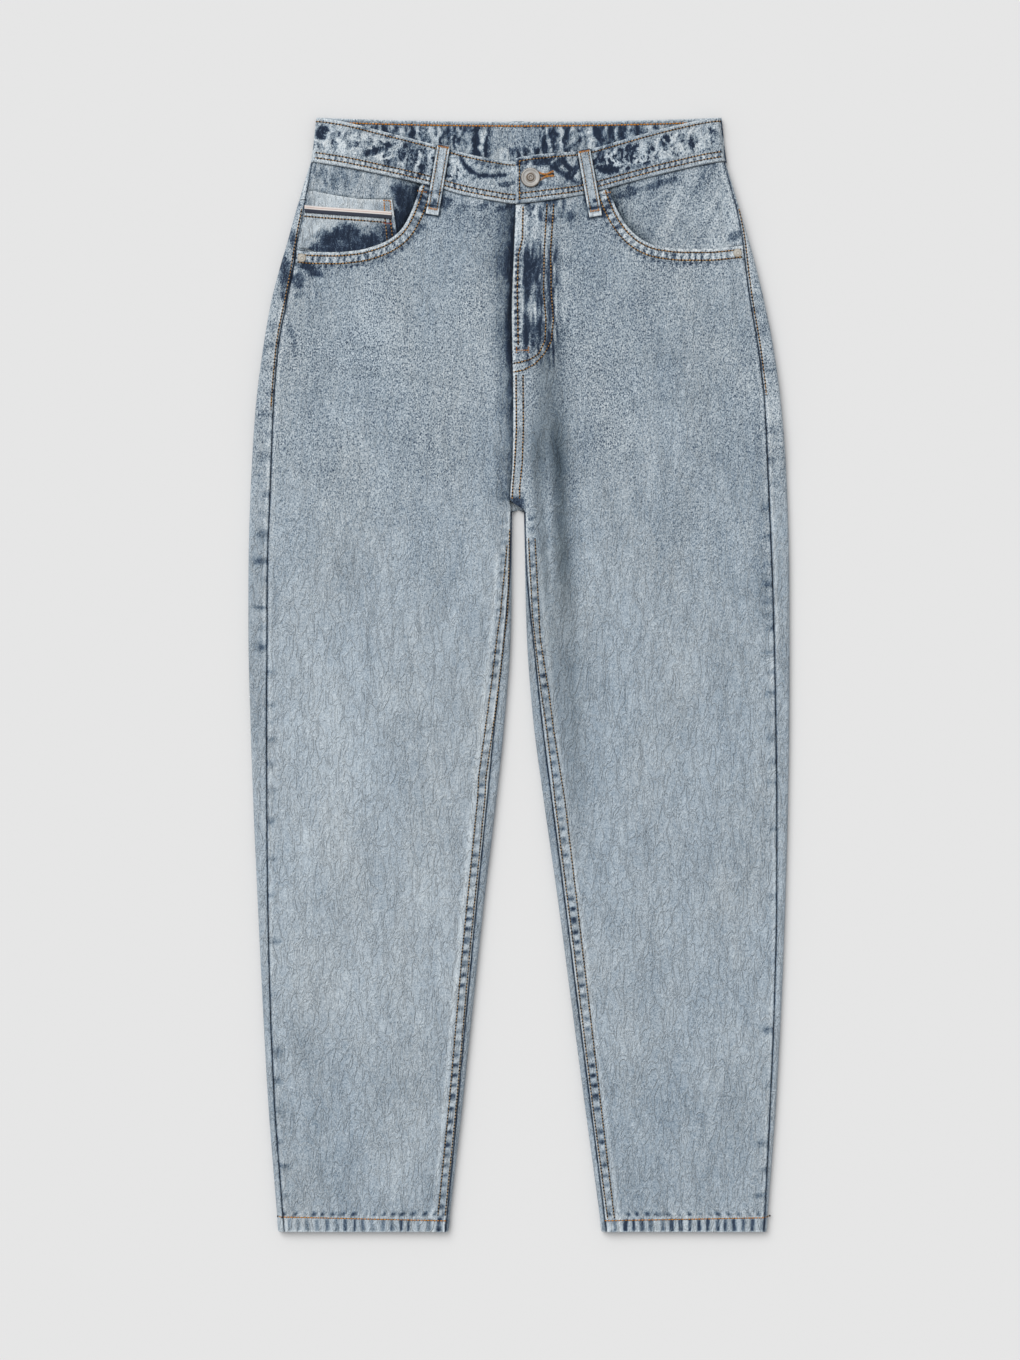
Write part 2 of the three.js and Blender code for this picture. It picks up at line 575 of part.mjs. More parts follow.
function coinPocket() {
  const skin = facingGrid("right");
  const rows = [...steps(2, skin.length - 2, skin.length - 4), skin.length - 1 - COIN.lowInset];
  const lastColumn = FACING_COLUMNS.findIndex((column) => column.isCoin);
  const columns = [COIN.sideInset, ...steps(1, lastColumn, lastColumn - 1)];
  const spots = grid(rows, columns, (i, j) => between(skin, i, j));
  const cells = (raise) => spots.map((row) => row.map((spot) => inwards(spot, -SEAM_GAP - raise)));
  add("coin_pocket", wall(cells(COIN_THICK), cells(0)), WORN);

  const across = steps(0, columns.length - 1, columns.length - 1);
  across[0] += COIN_TAPE.inset;
  across[across.length - 1] -= COIN_TAPE.inset;
  const low = SEAM_GAP + COIN_THICK + SEAM_GAP;
  const strip = (raise) => grid(steps(COIN_TAPE.top, COIN_TAPE.bottom, 2), across, (i, j) =>
    inwards(between(spots, i, j), -low - raise));
  add("coin_pocket_tape", wall(strip(COIN_TAPE.thick), strip(0)), TAPE);
}

// A belt loop: a narrow doubled strip from the band's edge to just below the band, slightly arched.
const LOOP = { width: 11.5, thick: 1.5, over: 9.7 };

function loop(name, from, to, isUnder) {
  const [dx, dd] = [to.x - from.x, to.down - from.down];
  const long = Math.hypot(dx, dd);
  const place = (t, across, raise) => {
    const x = from.x + dx * t + (across * LOOP.width * dd) / long;
    const down = from.down + dd * t - (across * LOOP.width * dx) / long;
    const rounded = 1 - 0.25 * (Math.abs(across) > 0.45);
    const arch = raise ? LOOP.thick * rounded : 0;
    return [x, LENGTH / 2 - down, isUnder ? LOOP.thick - arch : LOOP.over + arch];
  };
  const cols = [-0.5, -0.42, 0, 0.42, 0.5];
  const rows = steps(0, 1, 3);
  const outer = grid(rows, cols, (t, across) => place(t, across, true));
  const inner = grid(rows, cols, (t, across) => place(t, across, false));
  add(name, wall(outer, inner), WORN);
}

// A back pocket: a five-sided patch under the seat.
const PATCH = { top: 146, bottom: 128, side: 126, point: 148, thick: 1.5, out: 92, down: 124, turn: 0.05 };

function backPocket(side) {
  const outline = new THREE.Shape();
  outline.moveTo(-PATCH.top / 2, 0);
  outline.lineTo(PATCH.top / 2, 0);
  outline.lineTo(PATCH.bottom / 2, -PATCH.side);
  outline.lineTo(0, -PATCH.point);
  outline.lineTo(-PATCH.bottom / 2, -PATCH.side);
  outline.closePath();
  const patch = new THREE.ExtrudeGeometry(outline, { depth: PATCH.thick, bevelEnabled: false });
  const mesh = add("back_pocket_" + side, patch, WASHED);
  mesh.rotation.z = -SIGN[side] * PATCH.turn;
  mesh.position.set(SIGN[side] * PATCH.out, LENGTH / 2 - PATCH.down, 0);
}

// Under the fly: the shield sewn to the right front, and the zip closed on it.
const SHIELD = { from: -12, to: 31, top: 80.5, bottom: 226, low: 3.9, thick: 1.2 };
const ZIPPER = { left: -2.4, width: 26, top: 82, bottom: 216, tape: 0.7, chain: 6, chainHigh: 0.9 };

function flyParts() {
  const corner = 18;
  const shield = new THREE.Shape();
  shield.moveTo(SHIELD.from, LENGTH / 2 - SHIELD.top);
  shield.lineTo(SHIELD.from, LENGTH / 2 - SHIELD.bottom);
  shield.lineTo(SHIELD.to - corner, LENGTH / 2 - SHIELD.bottom);
  shield.quadraticCurveTo(SHIELD.to, LENGTH / 2 - SHIELD.bottom + 4, SHIELD.to, LENGTH / 2 - SHIELD.bottom + 30);
  shield.lineTo(SHIELD.to, LENGTH / 2 - SHIELD.top);
  shield.closePath();
  const flat = new THREE.ExtrudeGeometry(shield, { depth: SHIELD.thick, bevelEnabled: false, curveSegments: 4 });
  flat.translate(0, 0, SHIELD.low);
  add("fly_shield", flat, WASHED);

  const low = SHIELD.low + SHIELD.thick + SEAM_GAP;
  const middle = ZIPPER.left + ZIPPER.width / 2;
  const [half, chain] = [ZIPPER.width / 2, ZIPPER.chain / 2];
  const slider = { top: ZIPPER.top + 3, bottom: ZIPPER.top + 14 };
  const profile = (extra) => {
    const tape = low + ZIPPER.tape;
    const top = tape + ZIPPER.chainHigh + extra;
    return [[-half, tape], [-chain, tape], [-chain, top], [chain, top], [chain, tape], [half, tape]];
  };
  const rows = [
    { down: ZIPPER.top, extra: -0.5 },
    { down: slider.top, extra: -0.5 },
    { down: slider.top + 0.6, extra: 0 },
    { down: slider.bottom, extra: 0 },
    { down: slider.bottom + 0.6, extra: -0.5 },
    { down: ZIPPER.bottom, extra: -0.5 },
  ];
  const outer = rows.map(({ down, extra }) => profile(extra).map(([x, z]) => [middle + x, LENGTH / 2 - down, z]));
  const inner = rows.map(({ down, extra }) => profile(extra).map(([x]) => [middle + x, LENGTH / 2 - down, low]));
  add("fly_zip", wall(outer, inner), ZIP, 0.5, 0.6);
}

// The tack button on the lap, its shank through the buttonhole to the band beneath.
const BUTTON = { x: 10.4, down: 55.4, r: 8.8, high: 3.1, shankR: 2.4, hole: 3.3, slit: 1.3, slitEnd: 31.5, rise: 3.2 };

function waistButton() {
  const seat = BAND_REST + BAND_THICK + LAP.rise + SEAM_GAP;
  const foot = BAND_REST + BAND_THICK - LAP.dip + SEAM_GAP;
  const profile = [
    [0, foot], [BUTTON.shankR, foot], [BUTTON.shankR, seat], [BUTTON.r - 0.8, seat],
    [BUTTON.r, seat + 0.9], [BUTTON.r - 0.5, seat + 2.2], [BUTTON.r - 1.6, seat + 2.6],
    [4.6, seat + 2.0], [3.9, seat + 2.6], [2.2, seat + BUTTON.high], [1.2, seat + 2.5], [0, seat + 2.3],
  ].map(([r, z]) => new THREE.Vector2(r, z));
  const cap = new THREE.LatheGeometry(profile, 32);
  cap.rotateX(Math.PI / 2);
  cap.translate(BUTTON.x, LENGTH / 2 - BUTTON.down, 0);
  add("waist_button", cap, PEWTER, 0.45, 0.9);
}

// The keyhole: a round eye at the button and a slit running out from it, cut through the left band.
function leftBandWithButtonhole() {
  const solid = (geometry) => {
    const bare = geometry.clone();
    bare.deleteAttribute("normal");
    bare.deleteAttribute("uv");
    const merged = mergeVertices(bare, 1e-4);
    const mesh = { numProp: 3, vertProperties: merged.attributes.position.array };
    return new wasm.Manifold(new wasm.Mesh({ ...mesh, triVerts: new Uint32Array(merged.index.array) }));
  };
  const key = new THREE.Shape();
  const long = BUTTON.slitEnd - BUTTON.x;
  const first = Math.asin(BUTTON.slit / BUTTON.hole);
  key.absarc(0, 0, BUTTON.hole, first, 2 * Math.PI - first, false);
  key.lineTo(long, -BUTTON.slit);
  key.lineTo(long, BUTTON.slit);
  key.closePath();
  const cutter = new THREE.ExtrudeGeometry(key, { depth: 20, bevelEnabled: false, curveSegments: 12 });
  cutter.rotateZ(Math.atan2(BUTTON.rise, long));
  cutter.translate(BUTTON.x, LENGTH / 2 - BUTTON.down, 0);
  const cut = solid(frontBand("left")).subtract(solid(cutter)).getMesh();
  const geometry = new THREE.BufferGeometry();
  geometry.setAttribute("position", new THREE.BufferAttribute(cut.vertProperties, 3));
  geometry.setIndex(new THREE.BufferAttribute(cut.triVerts, 1));
  add("waistband_front_left", geometry, WORN);
}

// Dull silvery rivets at the outer ends of the pocket mouths.
const RIVET = { r: 3.9, high: 1.5 };

function rivet(side, u, down) {
  const seat = upper(side, u, down).at[2] + SEAM_GAP + 0.1;
  const profile = [
    [0, seat], [RIVET.r - 0.3, seat], [RIVET.r, seat + 0.5], [RIVET.r - 0.6, seat + 1.1],
    [1.6, seat + RIVET.high], [1.1, seat + RIVET.high - 0.3], [0, seat + RIVET.high - 0.4],
  ].map(([r, z]) => new THREE.Vector2(r, z));
  const head = new THREE.LatheGeometry(profile, 20);
  head.rotateX(Math.PI / 2);
  head.translate(SIGN[side] * u, LENGTH / 2 - down, 0);
  add("rivet_" + side, head, PEWTER, 0.45, 0.9);
}

for (const side of ["right", "left"]) {
  front(side);
  back(side);
  yoke(side);
  facing(side);
  backPocket(side);
}
add("waistband_front_right", frontBand("right"), WORN);
leftBandWithButtonhole();
backBand();
coinPocket();
flyParts();
waistButton();
rivet("right", 195.4, 127.3);
rivet("left", 196.6, 122.8);
loop("belt_loop_front_right", { x: -67.6, down: 25.6 }, { x: -78.2, down: 88.4 }, false);
loop("belt_loop_front_left", { x: 58.2, down: 29.6 }, { x: 69.0, down: 90 }, false);
const BACK_LOOP = { top: 3, bottom: 56, out: 108 };
for (const [name, x] of [["right", -BACK_LOOP.out], ["centre", CENTRE_BACK], ["left", BACK_LOOP.out]]) {
  loop("belt_loop_back_" + name, { x, down: BACK_LOOP.top }, { x, down: BACK_LOOP.bottom }, true);
}

export default group;
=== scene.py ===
import math

import bpy
import numpy as np
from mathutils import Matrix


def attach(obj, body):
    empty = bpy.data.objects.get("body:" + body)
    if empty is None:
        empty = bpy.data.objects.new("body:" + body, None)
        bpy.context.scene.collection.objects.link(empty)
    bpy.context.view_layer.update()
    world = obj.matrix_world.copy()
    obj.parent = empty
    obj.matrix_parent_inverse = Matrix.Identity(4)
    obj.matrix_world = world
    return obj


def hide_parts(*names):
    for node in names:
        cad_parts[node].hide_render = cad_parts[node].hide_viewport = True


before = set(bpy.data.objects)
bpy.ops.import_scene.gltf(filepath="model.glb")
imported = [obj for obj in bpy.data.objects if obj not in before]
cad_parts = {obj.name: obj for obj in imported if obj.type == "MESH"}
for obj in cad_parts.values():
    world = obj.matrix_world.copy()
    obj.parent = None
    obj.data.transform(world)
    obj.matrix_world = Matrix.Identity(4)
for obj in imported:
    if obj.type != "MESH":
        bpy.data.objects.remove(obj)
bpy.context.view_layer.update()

# The jeans lie on a plain pale floor under a soft light from the upper left, and the camera looks
# straight down on them with a long lens. All sizes below are millimetres until a mesh is made.
MM = 0.001
LENGTH = 1004.0  # waist corner to hem
LENS = 85.0
SENSOR = 36.0
VIEW_HEIGHT = 1.224
VIEW_CENTRE = (-0.0081, -0.00495, 0.008)
SUN = {"strength": 2.1, "angle": 46.0, "elevation": 48.0, "azimuth": 128.0}
SKY = 0.6
FLOOR_GREY = 0.72

scene = bpy.context.scene
camera = bpy.data.objects.new("camera", bpy.data.cameras.new("camera"))
camera.data.lens = LENS
camera.data.sensor_width = SENSOR
camera.location = VIEW_CENTRE
camera.location.z += VIEW_HEIGHT * LENS / SENSOR
scene.collection.objects.link(camera)
scene.camera = camera

sun = bpy.data.objects.new("sun", bpy.data.lights.new("sun", "SUN"))
sun.data.energy = SUN["strength"]
sun.data.angle = math.radians(SUN["angle"])
sun.rotation_euler = (math.radians(90 - SUN["elevation"]), 0, math.radians(SUN["azimuth"] + 90))
scene.collection.objects.link(sun)
scene.world = bpy.data.worlds.new("studio")
scene.world.use_nodes = True
scene.world.node_tree.nodes["Background"].inputs["Color"].default_value = (1, 1, 1, 1)
scene.world.node_tree.nodes["Background"].inputs["Strength"].default_value = SKY
scene.view_settings.view_transform = "Standard"


def linear(red, green, blue):
    """A screen colour, 0 to 255, as the linear one that shaders take."""
    parts = [c / 255 for c in (red, green, blue)]
    return [c / 12.92 if c <= 0.04045 else ((c + 0.055) / 1.055) ** 2.4 for c in parts] + [1.0]


def material(name, roughness, specular=0.5, colour=None):
    made = bpy.data.materials.new(name)
    made.use_nodes = True
    shader = made.node_tree.nodes["Principled BSDF"]
    shader.inputs["Roughness"].default_value = roughness
    shader.inputs["Specular IOR Level"].default_value = specular
    if colour:
        shader.inputs["Base Color"].default_value = colour
    return made


bpy.ops.mesh.primitive_plane_add(size=30)
floor = bpy.context.object
floor.name = "floor"
floor.data.materials.append(material("pale_floor", 0.9, 0.1, (FLOOR_GREY, FLOOR_GREY, FLOOR_GREY, 1)))

# The two fronts: right-hand twill, acid washed, so that the indigo is left in soft blotches and beside
# the seams. Each runs from the hem to the waistband, with the pocket's mouth cut out of its corner.
# A leg is measured in `u`, outwards from the middle, and `down` from the waist corners.
FOLD_R = 3.7  # outer radius where a pressed leg folds over
SEAT_LIFT = 1.8
SEAT_ENDS = (285.0, 330.0)
CROTCH = 354.0
CENTRE_BACK = -1.0
GAP = 0.3
HEM = 12.0
SIDES = ("right", "left")
SIGN = {"right": -1.0, "left": 1.0}
# down, outer edge, side seam, inseam, inner edge
SECTIONS = {
    "right": np.array([
        (0, 182.7, 181.4, 7.2, 6.3), (39, 187.2, 185.9, 7.2, 6.3), (57, 192.6, 188.9, 7.2, 6.3),
        (84, 200.7, 193.7, 7.2, 6.3), (111, 208.2, 199.0, 7.2, 6.3), (138, 216.0, 203.5, 7.2, 6.3),
        (165, 223.0, 208.8, 7.2, 6.3), (206, 230.2, 216.5, 7.2, 6.3), (255, 236.6, 220.7, 7.2, 6.3),
        (309, 240.5, 223.0, 7.2, 6.3), (354, 242.6, 224.8, 7.2, 6.3), (399, 243.7, 226.4, 7.9, 6.6),
        (435, 243.9, 226.8, 10.4, 6.8), (471, 243.8, 226.9, 13.6, 7.6), (543, 242.1, 227.4, 21.6, 12.8),
        (615, 239.6, 227.2, 28.6, 20.3), (705, 235.6, 226.3, 37.8, 31.1), (795, 231.2, 224.2, 46.4, 40.8),
        (885, 226.2, 220.4, 54.8, 50.3), (975, 219.2, 213.8, 63.4, 60.6), (1004, 216.6, 211.4, 66.4, 63.9)]),
    "left": np.array([
        (0, 181.2, 180.4, 5.4, 4.5), (39, 185.6, 184.6, 5.4, 4.5), (57, 190.8, 189.0, 5.4, 4.5),
        (84, 198.9, 196.0, 5.4, 4.5), (111, 207.0, 201.4, 5.4, 4.5), (138, 214.3, 204.6, 5.4, 4.5),
        (165, 220.7, 208.2, 5.4, 4.5), (206, 229.0, 215.1, 5.4, 4.5), (255, 235.8, 221.0, 5.4, 4.5),
        (309, 240.3, 223.9, 5.4, 4.5), (354, 242.3, 225.9, 5.4, 4.5), (399, 243.5, 227.8, 6.6, 5.4),
        (435, 243.8, 229.0, 9.2, 6.0), (471, 243.9, 230.0, 13.0, 7.2), (543, 243.7, 231.4, 20.6, 12.8),
        (615, 242.6, 232.3, 29.6, 22.2), (705, 240.2, 232.2, 41.2, 35.0), (795, 236.7, 230.2, 52.4, 46.8),
        (885, 232.0, 226.6, 63.8, 58.6), (975, 225.2, 222.2, 75.2, 70.8), (1004, 222.9, 220.6, 78.8, 74.6)]),
}
COLUMN = {"outer": 1, "seam": 2, "inseam": 3, "inner": 4}
# down, x of the left front's edge over the right one
CENTRE_FRONT = np.array([(0, -1.0), (80, -3.2), (125, -5.1), (177, -6.8), (210, -6.3), (255, -5.5),
                         (312, -6.1), (334, -7.8), (344, -8.4), (354, -8.4)])
# x, upper and lower edge of each front waistband
BAND_EDGES = {
    "right": np.array([
        (-187.2, 0, 40.6), (-160, 4, 44.8), (-124, 12.8, 52), (-78, 24.6, 62.6), (-50, 32.4, 70.6),
        (-22, 38.2, 76), (-5, 40.2, 78.2), (5, 39.4, 77), (18, 37.8, 75), (31, 36.4, 73)]),
    "left": np.array([
        (-3.2, 38, 78.8), (3, 36.2, 78.2), (20, 34, 76.2), (52, 31, 71.4), (66, 28.6, 68.2),
        (88, 22.4, 62.2), (115, 14.6, 55), (143, 7.4, 48.2), (170, 1.8, 42.2), (185.6, 0, 39.6)]),
}
# u, down of the pocket's edge, from the side seam to the waistband
MOUTH = {
    "right": np.array([(200.4, 120.2), (187.6, 121.6), (166.9, 122), (146.3, 120.4), (125.6, 114.8),
                       (113.1, 108), (104.9, 100), (98.1, 88), (92.4, 73.6), (88.6, 60.8)]),
    "left": np.array([(201.9, 115.7), (191.9, 117), (169.5, 118.9), (147.1, 118.8), (124.7, 116.2),
                      (112.8, 111.8), (102.3, 104), (93.3, 92.8), (86, 79), (80.6, 64.6)]),
}
# Ridges, or troughs where the rise is negative: x, down at each end, half width, rise
FOLDS = [
    (9, 300, 21, 440, 5, 2.6), (25, 296, 38, 640, 6, 2.4), (48, 320, 58, 600, 9, -1.2),
    (-21, 300, -31, 460, 8, 1.4), (-44, 330, -60, 560, 12, -0.8),
    (150, 560, 128, 820, 20, 0.9), (-150, 520, -128, 780, 20, 0.9),
    (10.5, 308, 23.5, 430, 1.6, 0.7), (26.5, 300, 33.5, 470, 1.3, 0.6), (-21.5, 312, -22, 392, 1.8, 0.7),
]
FLY_STEP = (1.8, 0.8)  # the right front lies this far under the left one, above and below the fly's end
FLY_END = 210.0


def curve(rows, value, at):
    """A monotone cubic through a table's first column and the named one."""
    place, height = rows[:, 0], rows[:, value]
    at = np.clip(at, place[0], place[-1])
    slope = np.diff(height) / np.diff(place)
    tangent = np.empty(len(place))
    tangent[0], tangent[-1] = slope[0], slope[-1]
    before, after = slope[:-1], slope[1:]
    total = np.where(before + after == 0, 1, before + after)
    tangent[1:-1] = np.where(before * after <= 0, 0, 2 * before * after / total)
    i = np.clip(np.searchsorted(place, at) - 1, 0, len(place) - 2)
    span = place[i + 1] - place[i]
    t = (at - place[i]) / span
    eased = t * t * (3 - 2 * t)
    lean = span * (tangent[i] * t * (1 - t) ** 2 - tangent[i + 1] * t * t * (1 - t))
    return height[i] + (height[i + 1] - height[i]) * eased + lean


def smooth(low, high, value):
    t = np.clip((value - low) / (high - low), 0, 1)
    return t * t * (3 - 2 * t)


def bell(away, width, power=2):
    """1 at no distance, falling off over a width to both sides, squarer for a higher power."""
    return np.exp(-(away / width) ** power)


def section(side, name, down):
    return curve(SECTIONS[side], COLUMN[name], down)


def floor_at(down):
    return SEAT_LIFT * (1 - smooth(*SEAT_ENDS, down))


def along(x, down, x0, down0, x1, down1):
    """How far along a line a place lies, from 0 to 1, and how far beside it."""
    dx, dd = x1 - x0, down1 - down0
    length = math.hypot(dx, dd)
    share = ((x - x0) * dx + (down - down0) * dd) / length ** 2
    return share, ((x - x0) * dd - (down - down0) * dx) / length


def folds(x, down):
    rise = np.zeros(np.broadcast(x, down).shape)
    for x0, down0, x1, down1, width, high in FOLDS:
        t, away = along(x, down, x0, down0, x1, down1)
        reach = smooth(-0.12, 0.15, t) * (1 - smooth(0.7, 1.1, t))
        rise += high * reach * np.exp(-away ** 2 / (2 * width ** 2))
    edge = curve(CENTRE_FRONT, 1, down)
    step = FLY_STEP[0] + (FLY_STEP[1] - FLY_STEP[0]) * smooth(FLY_END - 15, FLY_END + 15, down)
    under = np.where((x < edge) & (down < CROTCH), smooth(edge - 16, edge - 2, x), 0)
    return rise - step * under


def upper(side, u, down, lift=0.0):
    """The point and the outward direction on a leg's upper side."""
    outer = section(side, "outer", down)
    inner = np.where(down >= CROTCH, u - section(side, "inner", down), 1e3)
    near = np.clip(np.minimum(outer - u, inner), 0, None)
    lean = np.clip(1 - near / FOLD_R, 0, 1)
    stand = np.sqrt(1 - lean ** 2)
    raised = folds(SIGN[side] * u, down) * smooth(1, 14, outer - u) * smooth(0.5, 9, inner)
    z = floor_at(down) + FOLD_R * (1 + stand) + raised + lift * stand
    at = np.stack([SIGN[side] * u, LENGTH / 2 - down, z], -1)
    out = np.stack([SIGN[side] * np.where(outer - u < inner, 1, -1) * lean, 0 * lean, stand], -1)
    return at, out


def beside(x, down, path):
    """Distance from a path, and the length of path up to the nearest place on it."""
    path = np.asarray(path, float)
    best, way, run = np.full(np.shape(x), 1e9), np.zeros(np.shape(x)), 0.0
    for (x0, d0), (x1, d1) in zip(path[:-1], path[1:]):
        length = math.hypot(x1 - x0, d1 - d0)
        t = np.clip(((x - x0) * (x1 - x0) + (down - d0) * (d1 - d0)) / length ** 2, 0, 1)
        away = np.hypot(x - x0 - t * (x1 - x0), down - d0 - t * (d1 - d0))
        way = np.where(away < best, run + t * length, way)
        best = np.minimum(best, away)
        run += length
    return best, way


def wander(seed, at, step):
    """A smooth random line, -1 to 1, that changes over each step."""
    marks = np.random.default_rng(seed).uniform(-1, 1, 4096)
    n = np.floor(at / step).astype(int)
    t = at / step - n
    t = t * t * (3 - 2 * t)
    return marks[n % 4096] * (1 - t) + marks[(n + 1) % 4096] * t


def cloud(seed, x, down, step):
    """A smooth random field, -1 to 1."""
    marks = np.random.default_rng(seed).uniform(-1, 1, (256, 256))
    i, j = np.floor(x / step).astype(int), np.floor(down / step).astype(int)
    s, t = x / step - i, down / step - j
    s, t = s * s * (3 - 2 * s), t * t * (3 - 2 * t)
    pick = lambda a, b: marks[(i + a) % 256, (j + b) % 256]
    return (pick(0, 0) * (1 - s) + pick(1, 0) * s) * (1 - t) + (pick(0, 1) * (1 - s) + pick(1, 1) * s) * t


def pucker(seed, way, pitch):
    """The uneven gathering that shrinkage leaves along a stitched seam, -1 to 1."""
    phase = 2 * math.pi * way / pitch + 1.6 * wander(seed, way, 2.3 * pitch)
    return np.sin(phase) * (0.65 + 0.35 * wander(seed + 1, way, 1.7 * pitch))


def hem_rib(side, x):
    """The dark bars of a hem's turning, 0 to 1, uneven in width and depth, the wide ones split."""
    bars = pucker(41 if side == "right" else 43, x, 8.4) + 0.3 * wander(42, x, 1.8)
    split = 1 - 0.35 * smooth(0.7, 1.0, bars)
    return smooth(-0.1, 0.5, bars) * split * (0.45 + 0.55 * smooth(-0.8, 0.3, wander(47, x, 14)))


def shadows(x, down, rows):
    """Soft dark bands: x, down at each end, half width, depth."""
    dark = np.zeros(np.broadcast(x, down).shape)
    for x0, down0, x1, down1, width, depth in rows:
        t, away = along(x, down, x0, down0, x1, down1)
        dark += depth * smooth(-0.2, 0.2, t) * (1 - smooth(0.6, 1.15, t)) * bell(away, width)
    return dark


# The front belt loops' middle lines, whose shadow lies on what is under them
LOOP_WIDTH = 11.5
FRONT_LOOPS = {"right": ((-67.6, 25.6), (-78.2, 88.4)), "left": ((58.2, 29.6), (69.0, 90.0))}


def by_loop(side, x, down):
    """1 at the edge of a front belt loop, falling to 0 about 3 mm from it."""
    (x0, down0), (x1, down1) = FRONT_LOOPS[side]
    t, away = along(x, down, x0, down0, x1, down1)
    past = np.clip(t - 1, 0, None) * math.hypot(x1 - x0, down1 - down0)
    return bell(np.hypot(np.clip(np.abs(away) - LOOP_WIDTH / 2, 0, None), past), 1.7) * (t > 0)


def dabs(x, down, rows, seed=5, rough=2.5):
    """Soft blotches of dye, and of painted shade where a table holds some: x, down, half length, half width,
    lean in degrees from upright, depth.
    """
    x = x + rough * cloud(seed, x, down, 7) + 0.5 * rough * cloud(seed + 1, x, down, 3)
    down = down + rough * cloud(seed + 2, x, down, 7)
    dye = np.zeros(np.shape(x))
    for x0, d0, long, wide, lean, depth in rows:
        c, s = math.cos(math.radians(lean)), math.sin(math.radians(lean))
        a, b = (down - d0) * c + (x - x0) * s, (x - x0) * c - (down - d0) * s
        reach = (a / long) ** 2 + (b / wide) ** 2
        dye = np.maximum(dye, depth * (1 - smooth(0.35, 1.5, reach))) if depth > 0 else dye + depth * (
            1 - smooth(0.35, 1.5, reach))
    return dye


def washed(tone, grain, mottle, shade=None):
    """The wash at every point: how much dye is left, its grain and blotches, and any soft shade."""
    parts = [np.clip(tone, 0, 1), grain, mottle]
    if shade is not None:
        parts.append(np.clip(shade, 0, 0.9))
    return np.stack(np.broadcast_arrays(*parts), -1)


def laid(x, down, z):
    """Points in the frame: x, distance down from the waist corners, height."""
    return np.stack(np.broadcast_arrays(x, LENGTH / 2 - down, z), -1)


def linked(name, mesh):
    made = bpy.data.objects.new(name, mesh)
    scene.collection.objects.link(made)
    return made


def shell(name, outer, inner, wash, materials):
    """A closed thin wall between two grids of points, with its wash, and any painted shade, stored at every
    point.
    """
    rows, cols = outer.shape[:2]
    n = np.arange(rows * cols).reshape(rows, cols)
    a, b, c, d = n[:-1, :-1].ravel(), n[:-1, 1:].ravel(), n[1:, 1:].ravel(), n[1:, :-1].ravel()
    skin = np.stack([a, b, c, d], 1)
    rim = np.concatenate([n[0, :], n[1:, -1], n[-1, -2::-1], n[-2:0:-1, 0]])
    after = np.roll(rim, -1)
    m = rows * cols
    sides = np.stack([after, rim, rim + m, after + m], 1)
    faces = np.concatenate([skin, skin[:, ::-1] + m, sides])
    points = np.concatenate([outer.reshape(-1, 3), inner.reshape(-1, 3)]) * MM
    p0, p1, p2, p3 = (points[faces[:, k]] for k in range(4))
    volume = np.einsum("ij,ij->", p0, np.cross(p1, p2)) + np.einsum("ij,ij->", p0, np.cross(p2, p3))
    if volume < 0:
        faces = faces[:, ::-1]
    mesh = bpy.data.meshes.new(name)
    mesh.from_pydata(points.tolist(), [], faces.tolist())
    mesh.polygons.foreach_set("use_smooth", np.ones(len(faces), bool))
    inside = np.zeros(len(faces), np.int32)
    inside[len(skin):2 * len(skin)] = len(materials) - 1
    mesh.polygons.foreach_set("material_index", inside)
    layer = mesh.attributes.new("wash", "FLOAT_VECTOR", "POINT")
    parts = wash.reshape(-1, wash.shape[-1])
    layer.data.foreach_set("vector", np.concatenate([parts[:, :3]] * 2).astype(np.float32).ravel())
    if parts.shape[1] == 4:
        dim = mesh.attributes.new("shade", "FLOAT", "POINT")
        dim.data.foreach_set("value", np.concatenate([parts[:, 3]] * 2).astype(np.float32))
    for each in materials:
        mesh.materials.append(each)
    return linked(name, mesh)


def put(tree, kind, **values):
    """Adds a node. A value sets a property, or the input of that name, or links a socket to it."""
    made = tree.nodes.new(kind)
    for name, value in values.items():
        if name in ("operation", "blend_type", "data_type", "noise_dimensions", "feature", "wave_type",
                    "bands_direction", "attribute_name", "interpolation_type", "noise_type", "node_tree"):
            setattr(made, name, value)
            continue
        key = int(name[1:]) if name[0] == "i" and name[1:].isdigit() else name.replace("_", " ")
        if isinstance(value, bpy.types.NodeSocket):
            tree.links.new(value, made.inputs[key])
        else:
            made.inputs[key].default_value = value
    return made


def sums(tree, operation, *values):
    made = put(tree, "ShaderNodeMath", operation=operation)
    for n, value in enumerate(values):
        if isinstance(value, bpy.types.NodeSocket):
            tree.links.new(value, made.inputs[n])
        else:
            made.inputs[n].default_value = value
    return made.outputs[0]


def coloured(tree, value, stops):
    """A ramp's colour: each stop is a place from 0 to 1 and a screen colour."""
    ramp = put(tree, "ShaderNodeValToRGB", Fac=value)
    while len(ramp.color_ramp.elements) < len(stops):
        ramp.color_ramp.elements.new(0.5)
    for stop, (where, _) in zip(ramp.color_ramp.elements, stops):
        stop.position = where
    for stop, (_, colour) in zip(ramp.color_ramp.elements, stops):
        stop.color = linear(*colour)
    return ramp.outputs["Color"]


def remapped(tree, value, low, high, to_low, to_high):
    """Maps a range of values smoothly to another."""
    made = put(tree, "ShaderNodeMapRange", Value=value, interpolation_type="SMOOTHSTEP",
               i1=low, i2=high, i3=to_low, i4=to_high)
    return made.outputs[0]


WASH_STOPS = [  # tone, screen colour
    (0.00, (216, 223, 227)), (0.16, (188, 198, 205)), (0.30, (165, 176, 185)), (0.46, (128, 142, 154)),
    (0.64, (86, 102, 119)), (0.82, (54, 68, 88)), (1.00, (33, 44, 61)),
]


